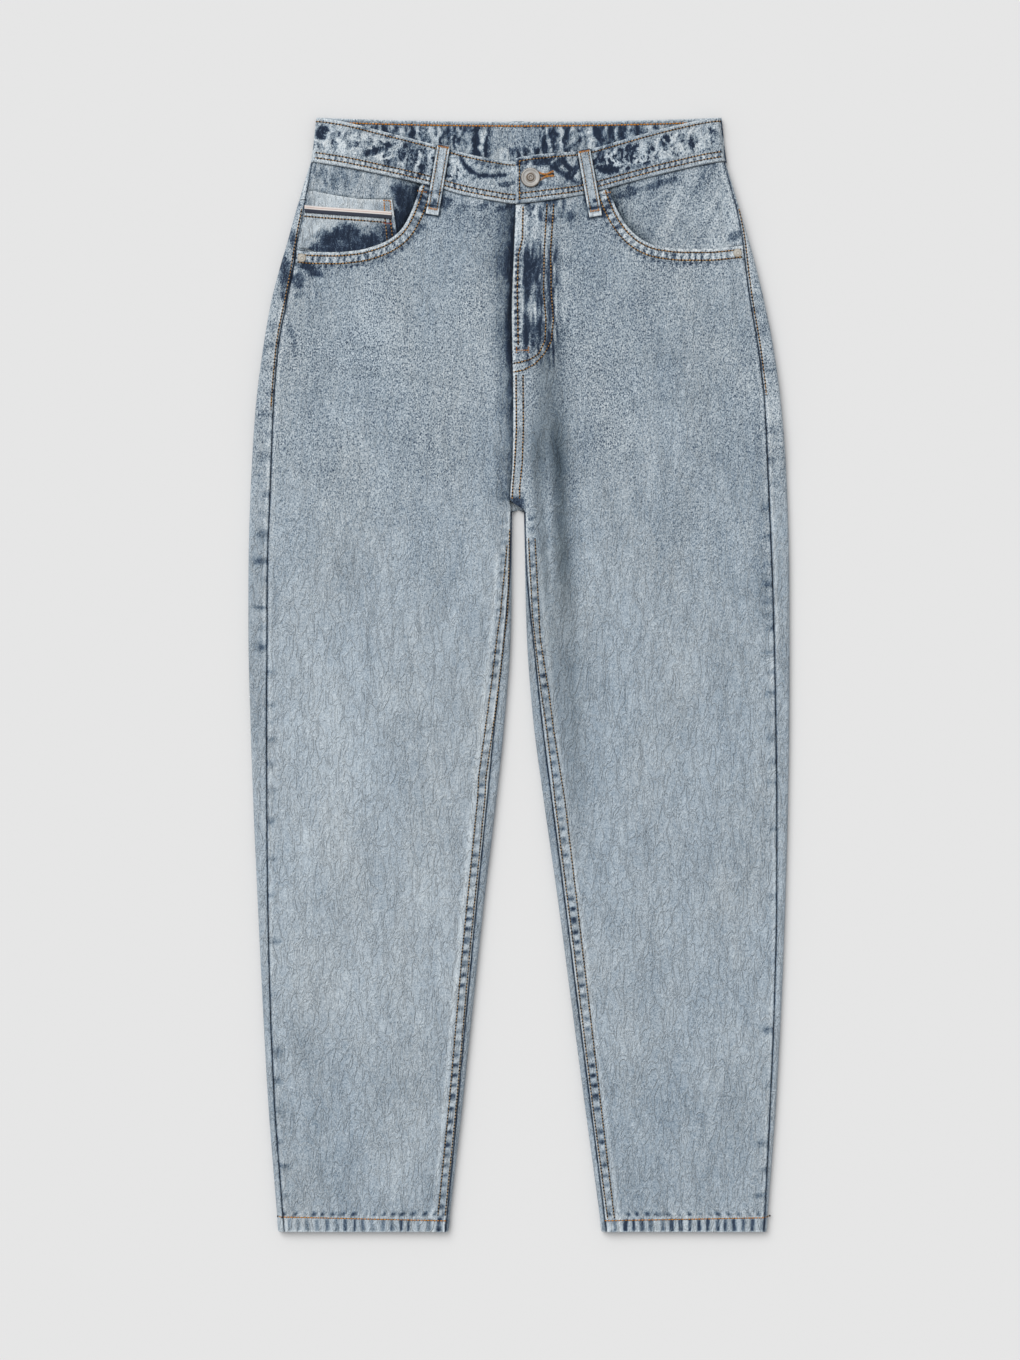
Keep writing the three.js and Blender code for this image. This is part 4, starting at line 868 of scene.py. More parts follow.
def sew_one(name, rows, slot, **settings):
    """Rows of points in mm, made into one mesh of lenses."""
    points, edges = np.concatenate(rows) * MM, []
    first = 0
    for row in rows:
        edges += [(first + n, first + n + 1) for n in range(len(row) - 1)]
        first += len(row)
    mesh = bpy.data.meshes.new(name)
    mesh.from_pydata(points.tolist(), edges, [])
    made = linked(name, mesh)
    sewing = made.modifiers.new("sewing", "NODES")
    sewing.node_group = sewn_row
    for item in sewn_row.interface.items_tree:
        if item.in_out == "INPUT" and item.name in settings:
            sewing[item.identifier] = settings[item.name]
    done = bpy.data.meshes.new_from_object(made.evaluated_get(bpy.context.evaluated_depsgraph_get()))
    made.modifiers.clear()
    made.data = done
    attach(made, "root")
    return made


def sew(name, rows, thread, pitch=THREAD_PITCH, size=STITCH, hole=NEEDLE_HOLE_SHADOW, seed=1):
    """A set of stitched rows, and dark lenses of painted shade at the needle holes between the stitches."""
    common = {"Half Pitch": pitch * MM / 2, "Jitter": 0.1, "Seed": seed}
    sew_one(name, rows, THREAD_SLOT, Size=[c * MM for c in size], Odd=0, Thread=thread, **common)
    # Dark lenses between the stitches paint the shade in the needle holes
    if hole:
        sew_one(name + "_holes", rows, "washed_denim", Size=[c * MM for c in hole], Odd=1,
                Thread=hole_shade, **common)


THREAD_SLOT = "topstitch_thread"


def even(path, step=1.0):
    """Points at even distances along a path."""
    path = np.asarray(path, float)
    run = np.concatenate([[0], np.cumsum(np.hypot(*np.diff(path, axis=0).T))])
    at = np.linspace(0, run[-1], max(3, int(run[-1] / step)))
    return np.column_stack([np.interp(at, run, path[:, 0]), np.interp(at, run, path[:, 1])])


def offset(path, by):
    """The path moved sideways, down the page for one that runs towards the left."""
    path = even(path, 1.5)
    way = np.gradient(path, axis=0)
    way /= np.hypot(*way.T)[:, None]
    return path + np.column_stack([way[:, 1], -way[:, 0]]) * by


def on_front(side, path, lift=0.15):
    spots = even(path)
    at, _, _ = front_surface(side, spots[:, 0], spots[:, 1])
    at[:, 2] += lift
    return at


def mouth_row(side, by):
    """A row inside the front, beside the pocket's edge, from the side seam up to the band."""
    row = offset(pocket_path(side), by * SIGN[side])
    below_band = row[:, 1] > curve(BAND_EDGES[side], 2, row[:, 0]) + 2
    inside = SIGN[side] * row[:, 0] < section(side, "seam", row[:, 1]) - 2.5
    return row[below_band & inside]


# x, down of the rows on the fly and the crotch seam
FLY_ROWS = [
    FLY_EDGE_ROW,
    [(25.2, 79.5), (22.7, 120), (22.1, 158), (24.2, 183), (23.3, 202), (17.6, 213.6), (9.9, 218.6),
     (0.9, 221.2), (-4.4, 222.1)],
    [(31.2, 79.5), (28.4, 120), (29, 158), (30.9, 183), (29, 202), (22.7, 213.6), (14.4, 222.6),
     (4.5, 228), (-4.4, 229.8)],
    [(-2.7, 233), (-2.3, 282), (-3.9, 312), (-5.7, 334), (-6.1, 343)],
    [(3.6, 233), (3.9, 282), (2.9, 312), (0.6, 334), (0.6, 343)],
]
FLY_TACKS = [[(-2.2, 210.4), (8.6, 210.4)], [(8.6, 207.6), (8.6, 213.0)], [(-2.2, 207.6), (-2.2, 213.0)]]
INSEAM_ROWS = {
    "right": [
        [(-10.8, 386), (-16.6, 446), (-19.5, 466.5), (-25.2, 513), (-29.3, 543), (-36.3, 594), (-37.4, 615),
         (-50.9, 750), (-62.6, 885), (-72.9, 988.5)],
        [(-8.4, 372), (-10.2, 446), (-12.9, 466.5), (-18.4, 513), (-22.5, 543), (-29.7, 594), (-30.8, 615),
         (-44.2, 750), (-56, 885), (-66.4, 988.5)],
    ],
    "left": [
        [(8.6, 380), (12.1, 448.5), (14.7, 474), (19.8, 517), (25, 552), (30.2, 594), (32.3, 615),
         (49.5, 750), (65.7, 885), (79.7, 991)],
        [(14.4, 380), (19.1, 470), (26.7, 517), (31.1, 552), (37.8, 594), (41.2, 615), (57.2, 750),
         (73.1, 885), (85.8, 991)],
    ],
}
HEM_ROWS = {"right": [(-213.6, 990.4), (-66.8, 993.6)], "left": [(76.8, 993.5), (221.0, 991.1)]}
MOUTH_ROWS = (3.5, 10.5)
POCKET_TACKS = {"right": [(-91.0, 67.0), (-83.6, 68.2)], "left": [(75.6, 69.2), (82.8, 68.2)]}

leg_rows = [on_front(side, row) for side in SIDES for row in INSEAM_ROWS[side]]
sew("inseam_stitches", leg_rows, worn_thread, pitch=2.9, size=(2.1, 1.4, 0.85), hole=(1.5, 1.9, 0.9), seed=2)
sew("fly_stitches", [on_front("left", row) for row in FLY_ROWS], faded_thread, pitch=2.9,
    size=(2.0, 1.4, 0.85), hole=(1.8, 2.2, 0.9), seed=3)
sew("mouth_stitches", [on_front(side, mouth_row(side, by)) for side in SIDES for by in MOUTH_ROWS],
    faded_thread, seed=4)
sew("hem_stitches", [on_front(side, HEM_ROWS[side], 0.3) for side in SIDES], amber_thread,
    pitch=3.0, size=(3.0, 1.15, 1.1), hole=(0.8, 1.0, 0.6), seed=5)
sew("front_bar_tacks", [on_front("left", row, 0.3) for row in FLY_TACKS] + [
    on_front(side, POCKET_TACKS[side], 0.3) for side in SIDES], amber_thread, pitch=1.4,
    size=(0.8, 1.7, 0.7), hole=None, seed=6)

# The backs: each wraps round both edges of its leg, so that a strip of it shows outside the side seam and
# inside the inseam. The yokes above them are sewn on over them, in a shallow V.
UNDER_SHARE = 0.92
SEAT_INNER = 16.0
YOKE_SIDE, YOKE_MIDDLE = 75.0, 116.0
YOKE_TOP = 41.3
BACK_SAG = 3.8
HALF_WAIST = 182.7
BAND_HEIGHT = 40.8
STRIP_BARS = {
    "right": [205, 226, 248, 268, 286, 306, 340, 358, 375, 382, 400, 417, 442, 460, 478],
    "left": [174, 195, 222, 228, 250, 282, 309, 330],
}
# Creases under the garment, as the fold table has them in front: x away from the middle
UNDER_FOLDS = [
    (30, 330, 70, 470, 7, 0.9), (52, 350, 110, 520, 10, 0.7), (205, 380, 120, 420, 8, 0.6),
    (60, 560, 190, 588, 9, 0.8), (90, 612, 205, 600, 8, 0.7), (70, 640, 150, 668, 11, 0.6),
    (150, 760, 132, 930, 12, 0.6), (24, 200, 30, 310, 9, 0.5), (120, 300, 200, 330, 9, 0.5),
]
STRIP_DYE = [(208, 150, 28, 7, -12, 0.5), (201, 118, 20, 5, -14, 0.4), (232, 205, 20, 5, 0, 0.16)]


def back_band_top(x):
    return BACK_SAG * np.clip(1 - (np.abs(x) / HALF_WAIST) ** 2, 0, None)


def round_leg(side, down, t):
    """The back's way round a leg: t is 0 to 1 over the outer fold, to 2 underneath, to 3 at the inner end."""
    down, t = np.broadcast_arrays(np.asarray(down, float), np.asarray(t, float))
    middle = floor_at(down) + FOLD_R
    outer, inner = section(side, "outer", down), section(side, "inner", down)
    is_leg = down >= CROTCH
    centre = SIGN[side] * CENTRE_BACK + GAP / 2
    start = section(side, "seam", down) + GAP / 2
    flat = np.clip(outer - FOLD_R - start, 0, None)
    first = np.arcsin(np.clip(1 - (outer - start) / FOLD_R, 0, 1))
    way = np.clip(t, 0, 1) * (flat + FOLD_R * (math.pi - first))
    end = section(side, "inseam", down) - GAP / 2
    last = np.arcsin(np.clip(1 - (end - inner) / FOLD_R, 0, 1))
    turn = FOLD_R * (math.pi - last)
    in_way = np.clip(t - 2, 0, 1) * (np.clip(end - inner - FOLD_R, 0, None) + turn)
    flat_end = np.where(is_leg, inner + FOLD_R, centre + SEAT_INNER)

    outward = np.where(t <= 1, 1.0, -1.0)
    angle = np.where(t <= 1, first + (way - flat) / FOLD_R, math.pi - in_way / FOLD_R)
    edge = np.where(t <= 1, outer, inner)
    arc_u = edge - outward * FOLD_R * (1 - np.sin(angle))
    under_u = np.where(t <= 2, outer - FOLD_R + (flat_end - outer + FOLD_R) * (t - 1),
                       flat_end + (centre - flat_end) * (t - 2))
    on_top = ((t <= 1) & (way < flat)) | ((t > 2) & is_leg & (in_way > turn))
    below = ((t > 1) & (t <= 2)) | ((t > 2) & ~is_leg)
    top_u = np.where(t <= 1, start + way, inner + FOLD_R + in_way - turn)
    u = np.where(on_top, top_u, np.where(below, under_u, arc_u))
    at, out = upper(side, u, down)
    across, stand = SIGN[side] * outward * np.sin(angle), np.cos(angle)
    z = np.where(on_top, at[..., 2], np.where(below, floor_at(down), middle + FOLD_R * stand))
    nx = np.where(on_top, out[..., 0], np.where(below, 0, across))
    nz = np.where(on_top, out[..., 2], np.where(below, -1, stand))
    return np.stack([SIGN[side] * u, LENGTH / 2 - down, z], -1), np.stack([nx, 0 * nx, nz], -1)


def back_surface(side, at, out):
    """Adds to a back or yoke what sewing and creases do to it, and its wash."""
    x, down, up = at[..., 0], LENGTH / 2 - at[..., 1], out[..., 2]
    u = SIGN[side] * x
    from_seam = u - section(side, "seam", down)
    from_inseam = section(side, "inseam", down) - u
    from_hem = LENGTH - down
    is_top = smooth(-0.3, 0.2, up)
    strip = is_top * (u > 150 * (down < 700) + (section(side, "outer", down) - 40) * (down >= 700))
    inner = is_top * (1 - strip) * (down > CROTCH)
    under = 1 - is_top
    tone = BASE_TONE[side] + 0.03 * cloud(51, x, down, 45) + 0.02 * strip
    grain = 0.1 + 0.5 * (1 - smooth(250, 420, down))
    rise = np.zeros(np.shape(x))
    high = 1 - smooth(470, 510, down)
    tone = tone + strip * 0.34 * bell(from_seam, 0.8)
    tone -= strip * (0.16 * high + 0.04) * bell(from_seam - 2.3, 1.3)
    rise += strip * high * 0.3 * bell(from_seam - 2.4, 1.8)
    for n, bar in enumerate(STRIP_BARS[side]):
        reach = 8 + 4 * math.sin(2.7 * n)
        tall = 2.8 + math.sin(4.1 * n)
        depth = 0.26 + 0.08 * math.sin(3.3 * n)
        tone += strip * depth * bell(down - bar, tall) * (1 - smooth(reach * 0.6, reach * 1.5, from_seam))
        rise -= strip * 0.25 * bell(down - bar, tall) * (1 - smooth(reach * 0.5, reach * 1.2, from_seam))
    if side == "right":
        tone += strip * dabs(u, down, STRIP_DYE, seed=61)
    tone += strip * 0.2 * np.clip(wander(63, down, 9), 0, 1) * (1 - smooth(180, 240, down))
    tone += inner * (0.05 + 0.5 * bell(from_inseam, 0.9) * (down > CROTCH))
    # Just below the crotch the inner strip is darker: partly the dark seam, partly painted shade where the
    # legs meet
    tone += inner * (0.5 * (1 - smooth(CROTCH + 2, CROTCH + 12, down)))
    tone -= 0.03 * inner * (side == "left")

    # Underneath: the seat is pale, creases gather behind the knees, and the seat seam is felled
    tone += under * 0.05 * cloud(55, x, down, 18)
    for x0, down0, x1, down1, width, deep in UNDER_FOLDS:
        t, away = along(u, down, x0, down0, x1, down1)
        ridge = smooth(-0.1, 0.2, t) * (1 - smooth(0.75, 1.1, t)) * np.exp(-away ** 2 / (2 * width ** 2))
        rise -= under * deep * ridge
        tone += under * 0.12 * deep * ridge
    seat = under * (down < CROTCH) * (1 - smooth(9.5, 12, u))
    tone += seat * 0.1 * np.clip(pucker(57, down, 9.0), -0.5, 1)
    turned = 1 - smooth(HEM - 0.3, HEM + 0.5, from_hem)
    rib = hem_rib(side, x)
    rise += is_top * turned * (0.5 - 0.2 * rib) - under * turned * 0.2 * rib
    tone += turned * (-0.1 + 0.4 * rib * smooth(0.2, 2, from_hem))
    tone -= 0.1 * bell(from_hem, 1.4)
    return at + out * rise[..., None], washed(tone, grain, 0.0)


def ends(values):
    """Distance of each value from the nearer end of its list."""
    values = np.asarray(values, float)
    return np.minimum(np.abs(values - values[0]), np.abs(values - values[-1]))


def cloth_wall(name, at, out, row_gap, col_gap, wash, materials, thick=CLOTH, radius=0.8):
    """A wall that is rolled down along its rim, given how far each row and column lies inside it."""
    drop = rolled(np.minimum(row_gap[:, None], col_gap[None, :]), radius)[..., None]
    return shell(name, at - out * drop, at - out * np.maximum(thick, drop + 0.25), wash, materials)


RIM = [0.0, 0.3, 0.7, 1.3]


def stations(low, high, step):
    """Values from low to high in even steps, with closer ones by both ends."""
    inside = np.linspace(low + 2.2, high - 2.2, max(2, int((high - low - 4.4) / step)))
    return np.concatenate([low + np.array(RIM), inside, high - np.array(RIM[::-1])])


ROUND_AT = np.concatenate([[0, 0.012, 0.028, 0.05], np.linspace(0.08, 1, 16), np.linspace(1, 2, 38)[1:],
                           np.linspace(2, 2.9, 10)[1:], [2.94, 2.97, 2.985, 3.0]])
ROUND_GAP = np.full(len(ROUND_AT), 9.0)  # how far each of these columns lies inside the rim
ROUND_GAP[:4] = ROUND_GAP[-1:-5:-1] = RIM


def vee_at(t):
    across = np.where(t <= 2, UNDER_SHARE * np.clip(t - 1, 0, None),
                      UNDER_SHARE + (1 - UNDER_SHARE) * (t - 2))
    return (YOKE_MIDDLE - YOKE_SIDE) * across


def build_back(side):
    rows = stations(YOKE_SIDE + GAP / 2, LENGTH, 2.5)
    down = rows[:, None] + vee_at(ROUND_AT) * (1 - smooth(YOKE_SIDE, 320, rows))[:, None]
    at, out = round_leg(side, down, ROUND_AT)
    at, wash = back_surface(side, at, out)
    made = cloth_wall("back_" + side + "_cloth", at, out, ends(rows), ROUND_GAP, wash, DENIM_SIDES)
    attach(made, "root")
    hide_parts("back_" + side)


def build_yoke(side):
    rows = stations(YOKE_TOP, YOKE_SIDE - GAP / 2, 2.4)
    first, _ = round_leg(side, np.full(len(ROUND_AT), YOKE_TOP), ROUND_AT)
    top = np.maximum(back_band_top(first[:, 0]) + BAND_HEIGHT + GAP, YOKE_TOP)
    share = ((rows - rows[0]) / (rows[-1] - rows[0]))[:, None]
    down = top * (1 - share) + (rows[-1] + vee_at(ROUND_AT)) * share
    at, out = round_leg(side, down, ROUND_AT)
    at, wash = back_surface(side, at, out)
    made = cloth_wall("yoke_" + side + "_cloth", at, out, ends(rows), ROUND_GAP, wash, DENIM_SIDES)
    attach(made, "root")
    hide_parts("yoke_" + side)


for side in SIDES:
    build_back(side)
    build_yoke(side)


def on_strip(side, path, lift=0.12):
    """Points on the strip outside the side seam: how far out of the seam, and down."""
    spots = even(path)
    down = spots[:, 1]
    u = section(side, "seam", down) + spots[:, 0]
    at, out = upper(side, u, down)
    at, _ = back_surface(side, at, out)
    return at + out * lift


def on_under(side, path, lift=0.12):
    """Points underneath: away from the middle, and down."""
    spots = even(path)
    at = laid(SIGN[side] * spots[:, 0], spots[:, 1], floor_at(spots[:, 1]))
    out = np.zeros(at.shape)
    out[:, 2] = -1
    at, _ = back_surface(side, at, out)
    return at + out * lift


SIDE_ROW_END = {"right": 260.4, "left": 247.8}
side_rows = [on_strip(side, [(1.9, 84), (1.9, SIDE_ROW_END[side])]) for side in SIDES]
side_rows += [on_strip(side, [(0.8, LENGTH - HEM - 1.5), (4.4, LENGTH - HEM - 2.2)], 0.3)
              for side in SIDES]
sew("side_stitches", side_rows, faded_thread, size=(2.3, 1.2, 0.7), seed=7)
sew("side_tacks", [on_strip(side, [(1.9, SIDE_ROW_END[side] - 7), (1.9, SIDE_ROW_END[side] + 3)], 0.3)
                   for side in SIDES], faded_thread, pitch=1.6, size=(0.9, 1.5, 0.6), hole=None, seed=8)
under_rows = []
for side in SIDES:
    for off in (2.2, 8.6):
        under_rows.append(on_under(side, [(186, YOKE_SIDE + off + 3), (4, YOKE_MIDDLE + off - 2)]))
        if side == "left":
            under_rows.append(on_under(side, [(off + 1.5, 128), (off + 1.5, 346)]))
    under_rows.append(on_under(side, [(210, LENGTH - HEM), (76, LENGTH - HEM)]))
sew("under_stitches", under_rows, faded_thread, seed=9)

# The pocket facings: a piece of the same denim behind each pocket's mouth, sewn into the side seam and the
# waistband. The right one carries the coin pocket, whose mouth is turned down and edged with a woven tape.
MOUTH_UNDERLAP = 8.0
FACING_DIP = {"right": (3.5, 1.9), "left": (2.4, 1.6)}  # by the mouth, and away from it
# Share of the waistband, and of the mouth's length, at which each column of a facing ends
FACING_COLUMNS = np.array([
    (1.0, 0), (0.95, 0.06), (0.88, 0.13), (0.78, 0.22), (0.66, 0.31), (0.54, 0.4),
    (0.43, 0.48), (0.345, 0.555), (0.25, 0.64), (0.16, 0.74), (0.08, 0.86), (0, 1),
])
COIN_TOP = np.array([(100, 74.6), (114.6, 74.6), (140, 74.2), (160, 71.6), (184, 67.2)])
COIN_SIDE = [(70, -114.6), (106, -111.8)]  # down, x of its edge on the middle's side
COIN_THICK = 1.0
TAPE_LINE = ((-194.4, 82.7), (-113.9, 88.3))
TAPE_WIDTH = 6.6
# x, down, half length, half width, lean, depth
FACING_DYE = {
    "right": [(-102, 80, 22, 8.5, 18, 0.64), (-93, 68, 9, 9, 20, 0.56), (-109, 96, 15, 6, 26, 0.64),
              (-114, 108, 10, 8, 45, 0.6), (-103, 63, 4, 10, 14, 0.42), (-176, 55, 13, 2.4, 8, 0.26),
              (-166, 56, 12, 2.6, 6, 0.2), (-158, 58, 8, 2.6, 8, 0.14), (-182, 50, 7, 1.6, 14, 0.36)],
    "left": [(96, 69, 12, 4.6, 104, 0.3), (116, 64, 17, 3.2, 104, 0.28), (134, 58, 14, 2.6, 104, 0.26),
             (88, 78, 12, 3, -20, 0.2), (194, 108, 5, 6, 30, 0.3)],
}
# x, down of the upper edge of the coin pocket's dark dye
COIN_CLOUD = [(-191, 122), (-187, 113), (-180, 106), (-172, 103), (-160, 96.5), (-150, 98.5), (-142, 102),
              (-134, 101), (-127, 98.5), (-120, 97), (-111, 95)]


def mouth_end(side, share, lap):
    """The pocket's edge at a share of its length, moved out under the front by the lap."""
    mouth, at = MOUTH[side], np.arange(len(MOUTH[side]))
    place = share * (len(mouth) - 1)
    u, down = np.interp(place, at, mouth[:, 0]), np.interp(place, at, mouth[:, 1])
    du = np.interp(place, at, np.gradient(mouth[:, 0]))
    dd = np.interp(place, at, np.gradient(mouth[:, 1]))
    off = section(side, "seam", down) - u
    out = lap * smooth(13, 26, off) - GAP * (1 - smooth(10, 13, off))
    length = np.hypot(du, dd)
    return u + out * dd / length, down - out * du / length


def facing_place(side, share, column):
    """u, down at a share of the way down a facing's column."""
    at = np.arange(len(FACING_COLUMNS))
    top, end = np.interp(column, at, FACING_COLUMNS[:, 0]), np.interp(column, at, FACING_COLUMNS[:, 1])
    seam_top = section(side, "seam", YOKE_TOP) - GAP / 2
    start, _ = mouth_end(side, 1.0, MOUTH_UNDERLAP)
    high_u = start + (seam_top - start) * top
    high_down = np.maximum(curve(BAND_EDGES[side], 2, SIGN[side] * high_u) + GAP, YOKE_TOP)
    low_u, low_down = mouth_end(side, end, MOUTH_UNDERLAP)
    down = high_down + (low_down - high_down) * share
    u = high_u + (low_u - high_u) * share
    first_u, _ = mouth_end(side, 0.0, MOUTH_UNDERLAP)
    bend = section(side, "seam", down) - GAP / 2 - (seam_top + (first_u - seam_top) * share)
    return u + bend * np.clip(1 - column / 6, 0, 1) ** 2, down


def facing_surface(side, u, down, raise_by=0.0):
    at, out = upper(side, u, down)
    away, _ = beside(SIGN[side] * u, down, pocket_path(side))
    near, far = FACING_DIP[side]
    dip = near + (far - near) * smooth(8, 25, away)
    dip = dip * smooth(0, 13, section(side, "seam", down) - u) - raise_by
    return at - out * dip[..., None], out


def facing_wash(side, x, down):
    from_band = down - curve(BAND_EDGES[side], 2, x)
    from_seam = section(side, "seam", down) - SIGN[side] * x
    tone = (0.36 if side == "right" else 0.42) + 0.05 * cloud(71, x, down, 20) + 0.05 * cloud(72, x, down, 6)
    tone += 0.09 * wander(76, x + 0.5 * down, 3.0)
    tone += 0.15 * np.clip(wander(73, x, 5), -0.3, 1) * bell(from_band, 11)
    tone += 0.14 * bell(from_band, 1.6)
    tone += dabs(x, down, FACING_DYE[side], seed=74)
    tone += 0.3 * bell(from_seam, 1.0)
    tone -= 0.1 * bell(from_seam - 4, 2)
    grain = 0.4 if side == "right" else 0.6
    away, _ = beside(x, down, pocket_path(side))
    shade = (0.8 * np.exp(-away / 5) + 0.2 * np.exp(-away / 12)) * (1 - smooth(104, 136, SIGN[side] * x))
    if side == "right":
        from_coin = curve(COIN_TOP, 1, -x) - down
        beside_coin = x - np.interp(down, *zip(*COIN_SIDE))
        shade += 0.7 * bell(from_coin - 0.6, 1.0) * (x < -115) * (from_coin > 0)
        shade += 0.6 * bell(beside_coin - 0.6, 1.1) * (from_coin < 0) * (beside_coin > 0)
    shade += 0.3 * bell(from_band, 1.5) + 0.5 * by_loop(side, x, down)
    return washed(tone, grain, 0.1 * (side == "right"), shade)


def build_facing(side):
    cols = np.linspace(0, len(FACING_COLUMNS) - 1, 100)
    rows = np.unique(np.concatenate([[0, 0.004, 0.01, 0.02], np.linspace(0.03, 0.98, 46), [0.99, 1]]))
    u, down = facing_place(side, rows[:, None], cols)
    at, out = facing_surface(side, u, down)
    x = SIGN[side] * u
    puff = 0.25 * cloud(75, x, down, 9) * smooth(0, 12, section(side, "seam", down) - u)
    at[..., 2] += puff
    made = cloth_wall("facing_" + side + "_cloth", at, out, ends(rows) * 70, ends(cols) * 9,
                      facing_wash(side, x, down), DENIM_SIDES, thick=1.1, radius=0.4)
    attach(made, "root")
    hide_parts("pocket_facing_" + side)


for side in SIDES:
    build_facing(side)


def coin_place(share, column):
    """u, down on the coin pocket, whose upper edge is the coin-top line."""
    u_top, _ = facing_place("right", 0.3, column)
    _, full_down = facing_place("right", np.array([0.0, 1.0])[:, None], np.atleast_1d(column))
    first = (curve(COIN_TOP, 1, u_top) - full_down[0]) / (full_down[1] - full_down[0])
    return facing_place("right", first + (0.975 - first) * share, column)


def coin_surface(u, down):
    return facing_surface("right", u, down, GAP + COIN_THICK)


def coin_wash(x, down):
    from_tape = down - np.interp(x, *zip(*TAPE_LINE))
    tone = 0.2 + 0.04 * cloud(81, x, down, 9)
    below = down - np.interp(x, *zip(*COIN_CLOUD)) + 3.4 * cloud(82, x, down, 7) + 3 * cloud(80, x, down, 2.4)
    dark = smooth(-6, 7, below)
    tone += dark * (0.74 + 0.14 * cloud(79, x, down, 5) + 0.2 * wander(78, x + cloud(77, x, down, 9), 1.4))
    tone += 0.2 * np.clip(wander(83, x, 3.4), 0, 1) * bell(from_tape - 8.5, 3)
    tone += 0.2 * np.clip(wander(84, x, 7), 0, 1) * bell(from_tape + 6, 4)
    right_edge = np.interp(down, *zip(*COIN_SIDE))
    tone += 0.2 * bell(right_edge - x - 3.4, 2.2) * (from_tape > 0)
    tone -= 0.16 * bell(right_edge - x, 0.9)
    tone -= 0.12 * bell(curve(COIN_TOP, 1, -x) - down, 1.8)
    return washed(tone, 0.15 + 0.5 * dark, 0.12 * smooth(6, 14, from_tape))


def build_coin_pocket():
    rows = np.concatenate([[0, 0.006, 0.014, 0.026], np.linspace(0.045, 0.96, 40), [0.98, 1]])
    cols = np.concatenate([0.28 + np.array([0, 0.03, 0.07, 0.12]), np.linspace(0.5, 6.85, 64),
                           [6.9, 6.94, 6.97, 7.0]])
    u, down = coin_place(rows[:, None], cols)
    at, out = coin_surface(u, down)
    at[..., 2] += 0.3 * cloud(85, -u, down, 7) * smooth(0, 6, 7 - cols)
    made = cloth_wall("coin_pocket_cloth", at, out, ends(rows) * 50, ends(cols) * 10, coin_wash(-u, down),
                      DENIM_SIDES, thick=0.95, radius=0.45)
    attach(made, "root")
    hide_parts("coin_pocket")


build_coin_pocket()


def tape_material():
    """Selvedge tape: a white half with a thin red line, and a navy half, woven across."""
    made = material("selvedge_tape", 0.7)
    tree = made.node_tree
    width = put(tree, "ShaderNodeSeparateXYZ", Vector=put(
        tree, "ShaderNodeAttribute", attribute_name="wash").outputs["Vector"]).outputs[0]
    stops = [(0.0, (216, 208, 204)), (0.2, (220, 212, 208)), (0.25, (192, 160, 148)), (0.28, (192, 160, 148)),
             (0.33, (222, 216, 212)), (0.46, (216, 210, 206)), (0.50, (40, 46, 62)), (1.0, (36, 42, 58))]
    place = tree.nodes.new("ShaderNodeTexCoord").outputs["Object"]
    weave = put(tree, "ShaderNodeTexWave", Vector=place, Scale=420.0, Distortion=0.4)
    dress(made, coloured(tree, width, stops), weave.outputs["Fac"], 0.6, 0.0002)
    return made


def build_tape():
    across = np.linspace(0, 1, 11)
    x = np.linspace(TAPE_LINE[0][0] + 1.5, TAPE_LINE[1][0] - 0.6, 90)
    centre = np.interp(x, *zip(*TAPE_LINE))
    down = centre + TAPE_WIDTH * (across[:, None] - 0.42)
    u = np.broadcast_to(-x, down.shape)
    at, out = facing_surface("right", u, down, GAP + COIN_THICK + 0.35 + 0.5)
    at[..., 2] += 0.12 * cloud(85, -u, down, 7)
    wash = np.stack([np.broadcast_to(across[:, None], down.shape)] * 3, -1)
    made = cloth_wall("coin_tape", at, out, ends(across) * TAPE_WIDTH, ends(x), wash, [tape_material()],
                      thick=0.5, radius=0.22)
    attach(made, "root")
    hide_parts("coin_pocket_tape")


build_tape()


def on_coin(path, lift=0.12):
    spots = even(path)
    at, out = coin_surface(-spots[:, 0], spots[:, 1])
    return at + out * lift


COIN_ROWS = [
    [(-193.0, 89.8), (-121.5, 94.9)],
    [(-120.6, 90.5), (-118.6, 112.5)], [(-116.1, 90.8), (-113.8, 109)],
]
COIN_TACKS = [
    [(-121.5, 75.6), (-121.0, 84.0)], [(-116.0, 75.6), (-115.4, 84.0)], [(-121.5, 75.6), (-116.0, 75.6)],
]
sew("coin_stitches", [on_coin(row) for row in COIN_ROWS], faded_thread, pitch=2.9, size=(2.1, 1.3, 0.8),
    seed=10)
sew("coin_tacks", [on_coin(row) for row in COIN_TACKS], amber_thread, pitch=2.0, size=(2.1, 1.3, 0.8),
    hole=None, seed=11)
red_thread = thread_material("red_thread", (196, 84, 58), 0.8)
sew("coin_red_tack", [on_coin([(-121.3, 95.6), (-114.8, 96.2)], 0.3)], red_thread, pitch=1.2,
    size=(0.75, 1.9, 0.7), hole=None, seed=12)

# The waistband: a doubled strip with its edges turned in, in three lengths. The left front end, with the
# buttonhole, laps over the right one. The back one's inner face shows above them, with a place for a label.
BAND_THICK, BAND_REST = 3.0, 6.4
LAP_LEFT = {"rise": 2.0, "from": 34.0, "to": 50.0}
LAP_RIGHT = {"dip": 1.3, "from": -28.0, "to": -11.0}
LAP_START, LAP_END = -3.2, 31.0
